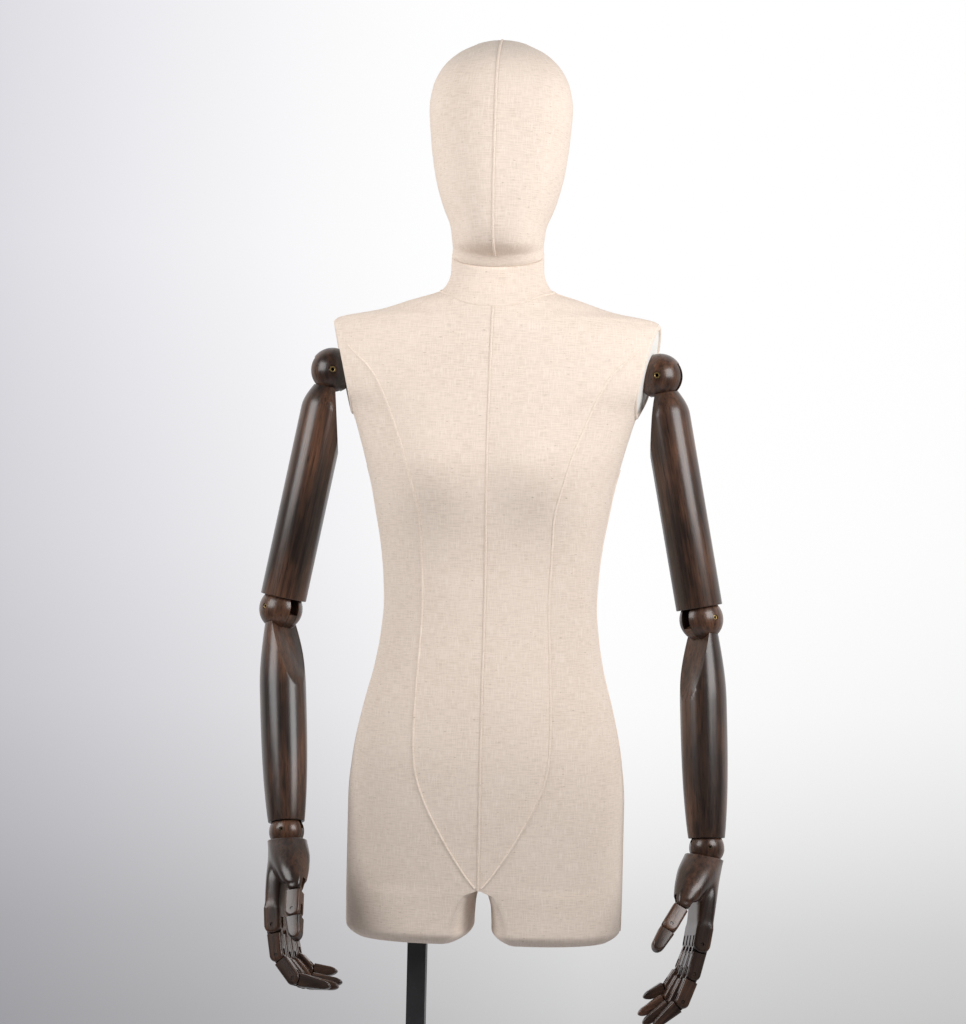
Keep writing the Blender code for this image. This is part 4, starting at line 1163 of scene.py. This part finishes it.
def calico_material(name):
    """Off-white cotton over the armholes' boards."""
    n, at = painted(name)
    weave = n.noise(at, grey(700), 2.0)
    n.bump(weave, 0.2, 0.0003)
    n.surface(Base_Color=n.mix(weave, *CALICO), Roughness=0.9)
    return n.owner


def wood_material(name):
    """Dark stained and polished hardwood with its grain along the piece."""
    n = Nodes(bpy.data.materials.new(name))
    at = n.add("ShaderNodeAttribute", attribute_name="grain").outputs["Vector"]
    drift = n.noise(at, (16, 16, 3), 3.0)
    sway = n.math("MULTIPLY", drift, 0.02)
    aside = n.add("ShaderNodeCombineXYZ", {"X": sway, "Y": sway}).outputs[0]
    bent = n.add("ShaderNodeVectorMath", {0: at, 1: aside}, operation="ADD").outputs[0]
    streak = n.noise(bent, (220, 220, 7), 6.0, 0.65)
    patch = n.noise(at, (26, 26, 9), 3.0)
    pore = n.noise(at, (900, 900, 40), 2.0)
    dark = n.ramp(streak, (0.34, WOOD_DARK), (0.68, WOOD_MIDDLE))
    light = n.ramp(streak, (0.32, WOOD_MIDDLE), (0.70, WOOD_LIGHT))
    colour = n.tint(dark, light, patch, 0.42, 0.66, 1.0)
    colour = n.tint(colour, WOOD_PORE, pore, 0.56, 0.70, 0.75)
    n.bump(n.math("SUBTRACT", n.math("MULTIPLY", streak, 0.4), pore), 0.08, 0.0003)
    n.surface(Base_Color=colour, Roughness=n.ramp(streak, (0.3, grey(0.34)), (0.7, grey(0.46))),
              Specular_IOR_Level=0.12, Coat_Weight=0.7, Coat_Roughness=0.25)
    return n.owner


def metal_material(name, colour, roughness, scale):
    """Metal dulled in patches."""
    n, at = painted(name)
    wear = n.noise(at, grey(scale), 4.0)
    dull = tuple(c * 0.55 for c in colour)
    n.surface(
        Base_Color=n.tint(colour, dull, wear, 0.35, 0.75, 0.8), Metallic=1.0,
        Roughness=n.ramp(wear, (0.3, grey(roughness)), (0.8, grey(min(1.0, roughness * 1.7)))))
    return n.owner


def coat_material(name):
    """Black powder coat with a fine orange peel."""
    n, at = painted(name)
    dust = n.noise(at, grey(22), 3.0)
    n.bump(n.noise(at, grey(900), 2.0), 0.12, 0.0003)
    n.surface(Base_Color=n.mix(dust, *COAT), Roughness=n.ramp(dust, (0.3, grey(0.42)), (0.7, grey(0.56))))
    return n.owner


def beech_material(name):
    """Plain pale wood of the pieces held inside."""
    n, at = painted(name)
    streak = n.noise(at, (120, 120, 8), 4.0)
    n.bump(streak, 0.1, 0.0003)
    n.surface(Base_Color=n.ramp(streak, (0.3, BEECH[0]), (0.7, BEECH[1])), Roughness=0.6)
    return n.owner


def show(name, mesh, materials, body, *stands_for):
    """Puts a mesh in the scene on a body, in place of the solids that it stands for."""
    mesh.name = name
    for material in materials:
        mesh.materials.append(material)
    item = placed(name, mesh)
    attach(item, body)
    if stands_for:
        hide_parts(*stands_for)


def smooth(mesh, degrees):
    mesh.shade_smooth()
    mesh.set_sharp_from_angle(angle=math.radians(degrees))
    return mesh


def lay_grain(mesh, seed):
    """Gives a mesh its own place in the wood's grain."""
    places = np.zeros(len(mesh.vertices) * 3, np.float32)
    mesh.vertices.foreach_get("co", places)
    places = places.reshape(-1, 3) + np.array(GRAIN_STEP, np.float32) * seed
    mesh.attributes.new("grain", "FLOAT_VECTOR", "POINT").data.foreach_set("vector", places.ravel())


def sew(name, surface, path, body, closed=False):
    """Shows a seam along a path on a surface, in the paler linen that paints a highlight on its ridge."""
    show(name, smooth(bead(surface, path, closed), SHARP["seam"]), [highlit_seam_linen], body)


def facing(place, target):
    """Turn that points a camera or a lamp at a target."""
    return (Vector(target) - Vector(place)).to_track_quat("-Z", "Y").to_matrix()


linen = linen_material("linen_cover", 1.0)
# The seams' linen is a paler copy of the cover's: a painted highlight on their ridges
highlit_seam_linen = linen_material("linen_seam_highlit", SEAM_HIGHLIGHT)
calico = calico_material("armhole_calico")
wood = wood_material("polished_wood")
brass = metal_material("aged_brass", BRASS, 0.34, 500)
# Dark metal drawn in the rivets' hollows: painted shade
hollow = metal_material("rivet_hollow_shade", HOLLOW_SHADE, 0.6, 300)
bronze = metal_material("dark_bronze", BRONZE, 0.5, 500)
steel = metal_material("plain_steel", STEEL, 0.32, 300)
black = coat_material("black_coat")
beech = beech_material("beech")

# Solids: the stand and what is held inside are shown as they are
for name, node in nodes.items():
    node.data.materials.clear()
    if name in ("base_plate", "pole", "pole_collar"):
        node.data.materials.append(black)
        edge = node.modifiers.new("edge", "BEVEL")
        edge.width = EDGE
        edge.segments = 3
        edge.limit_method = "ANGLE"
        edge.angle_limit = math.radians(SHARP["stand"])
    elif name in ("pole_block", "neck_plug"):
        node.data.materials.append(beech)
    else:
        node.data.materials.append(steel)

# Covered torso and head
torso_made = torso()
for side in POSE:
    cap = cap_faces(torso_made, side)
    for face in cap:
        face.material_index = 1
    show(f"{side}_armhole_hem", smooth(hem(torso_made, cap), SHARP["seam"]), [linen], "stand_torso")
show("torso_cover", smooth(torso_made, SHARP["torso"]), [linen, calico], "stand_torso", "torso_shell")
head_made = head()
show("head_cover", smooth(head_made, SHARP["head"]), [linen], "head", "head")

# Seams
torso_surface = surface_of(torso_made)
head_surface = surface_of(head_made)
wide, deep, fall = NECK_BASE
seams = {
    "centre_front": ((0, 1, 0), upright(NECK_BASE_Z - fall, CROTCH_Z)),
    "centre_back": ((0, -1, 0), upright(NECK_BASE_Z + fall, CROTCH_Z)),
}
for sign, side in ((1, "left"), (-1, "right")):
    shoulder_line = [(sign * x, SHOULDER_SEAM_Y, NECK_Z) for x in np.linspace(*SHOULDER_SEAM, 20)]
    seams[f"{side}_front"] = ((0, 1, 0), smooth_path([(sign * x, 0.0, z) for x, z in PRINCESS]))
    seams[f"{side}_back"] = ((0, -1, 0), smooth_path([(sign * x, 0.0, z) for x, z in PRINCESS_BACK]))
    seams[f"{side}_side"] = ((-sign, 0, 0), upright(SIDE_SEAM_TOP, THIGH_Z + SIDE_SEAM_RISE))
    seams[f"{side}_shoulder"] = ((0, 0, -1), shoulder_line)
for name, (direction, line) in seams.items():
    sew(f"seam_{name}", torso_surface, seen_from(torso_surface, direction, line), "stand_torso")
neck_base = []
for angle in np.linspace(0.0, 2 * math.pi, 73)[:-1]:
    y = NECK_Y + deep * math.sin(angle)
    neck_base.append((wide * math.cos(angle), y, NECK_BASE_Z + fall * math.sin(angle)))
sew("seam_neck_base", torso_surface, neck_base, "stand_torso", closed=True)
head_line = []
for angle in np.radians(np.linspace(*HEAD_SEAM, 61)):
    way = (0.0, math.cos(angle), -math.sin(angle))
    head_line += seen_from(head_surface, way, [(0.0, 0.0, NECK_Z + HEAD_MIDDLE)])
sew("seam_head", head_surface, head_line, "head")

# Arms
arm = arm_meshes()
for side in POSE:
    for number, (key, (matrix, body)) in enumerate(arm_frames(side).items()):
        mesh = arm[key].copy()
        seed = number
        if side == "right":
            mesh.transform(FLIP)
            mesh.flip_normals()
            seed += len(arm)
        if key.endswith("_pin"):
            name = f"{side}_{key}_rivet"
            # The second material paints the shade in the rivet's hollow
            materials = [bronze if key == "wrist_pin" else brass, hollow]
        else:
            name = f"{side}_{key}_wood"
            materials = [wood]
            lay_grain(mesh, seed)
        show(name, smooth(moved(mesh, matrix), SHARP["arm"]), materials, body, f"{side}_{key}")

# Camera at the photograph's angle
camera_data = bpy.data.cameras.new("camera")
camera_data.lens = camera_data.sensor_width * CAMERA_FAR / VIEW_HEIGHT
camera = placed("camera", camera_data)
camera.location = Vector(TARGET) + turn("Z", CAMERA_TURN).to_3x3() @ Vector((0.0, -CAMERA_FAR, 0.0))
camera_turn = facing(camera.location, TARGET) @ turn("Z", CAMERA_ROLL).to_3x3()
camera.rotation_euler = camera_turn.to_euler()
bpy.context.scene.camera = camera

# Soft boxes
for name, (place, target, size, power) in LAMPS.items():
    data = bpy.data.lights.new(name, "AREA")
    data.energy = power
    data.size = size
    item = placed(name, data)
    item.location = place
    item.rotation_euler = facing(place, target).to_euler()
    item.visible_camera = False

# Backdrop: a pale sweep with painted light and shade that the camera, metal and polish see, and a plain even
# light for the rest
world = Nodes(bpy.data.worlds.new("studio"))
bpy.context.scene.world = world.owner
toward = world.add("ShaderNodeTexCoord").outputs["Generated"]
split = world.add("ShaderNodeSeparateXYZ", {0: toward}).outputs
# Painted shade on the backdrop: the sweep's grey steps darken it to the left of the figure and towards the
# bottom
sweep = []
for output, stops in ((split["X"], SWEEP_ACROSS), (split["Z"], SWEEP_UP)):
    low, high = stops[0][0], stops[-1][0]
    along = world.span(output, low, high)
    sweep.append(world.ramp(along, *[((at - low) / (high - low), colour) for at, colour in stops]))
path = world.add("ShaderNodeLightPath").outputs
mirrored = world.math("MAXIMUM", path["Is Glossy Ray"], path["Is Transmission Ray"])
direct = world.math("MAXIMUM", path["Is Camera Ray"], mirrored)
behind = world.span(split["Y"], *ROOM_EDGE, ROOM_LIGHT, 1.0)
strength = world.math("MAXIMUM", path["Is Camera Ray"], behind)
channels = world.add("ShaderNodeSeparateColor", {0: world.mix(1.0, *sweep, "MULTIPLY")}).outputs
capped = []
for channel in channels:
    limit = world.add("ShaderNodeMath", {0: channel, 1: 1.0, 2: SOFT_WHITE}, operation="SMOOTH_MIN")
    capped.append(limit.outputs[0])
backdrop = world.add("ShaderNodeCombineColor", dict(enumerate(capped))).outputs[0]
seen = world.add("ShaderNodeBackground", {"Color": backdrop, "Strength": strength}).outputs[0]
spread = world.math("MULTIPLY", behind, EVEN_LIGHT)
even = world.add("ShaderNodeBackground", {"Color": (1.0, 1.0, 1.0, 1.0), "Strength": spread}).outputs[0]
picked = world.add("ShaderNodeMixShader", {0: direct, 1: even, 2: seen}).outputs[0]
world.put(world.tree.nodes["World Output"], "Surface", picked)

# Floor that fades out into the backdrop
work = bmesh.new()
bmesh.ops.create_circle(work, cap_ends=True, segments=96, radius=FLOOR_RADIUS)
floor_mesh = mesh_of(work)
paint, at = painted("pale_floor")
reach = paint.add("ShaderNodeVectorMath", {0: at}, operation="LENGTH").outputs["Value"]
paint.surface(Base_Color=FLOOR, Roughness=0.8, Alpha=paint.span(reach, FLOOR_FADE, FLOOR_RADIUS, 1.0, 0.0))
floor_mesh.materials.append(paint.owner)
floor = placed("floor", floor_mesh)
floor.location.z = -CLEAR

bpy.context.scene.view_settings.view_transform = "Standard"
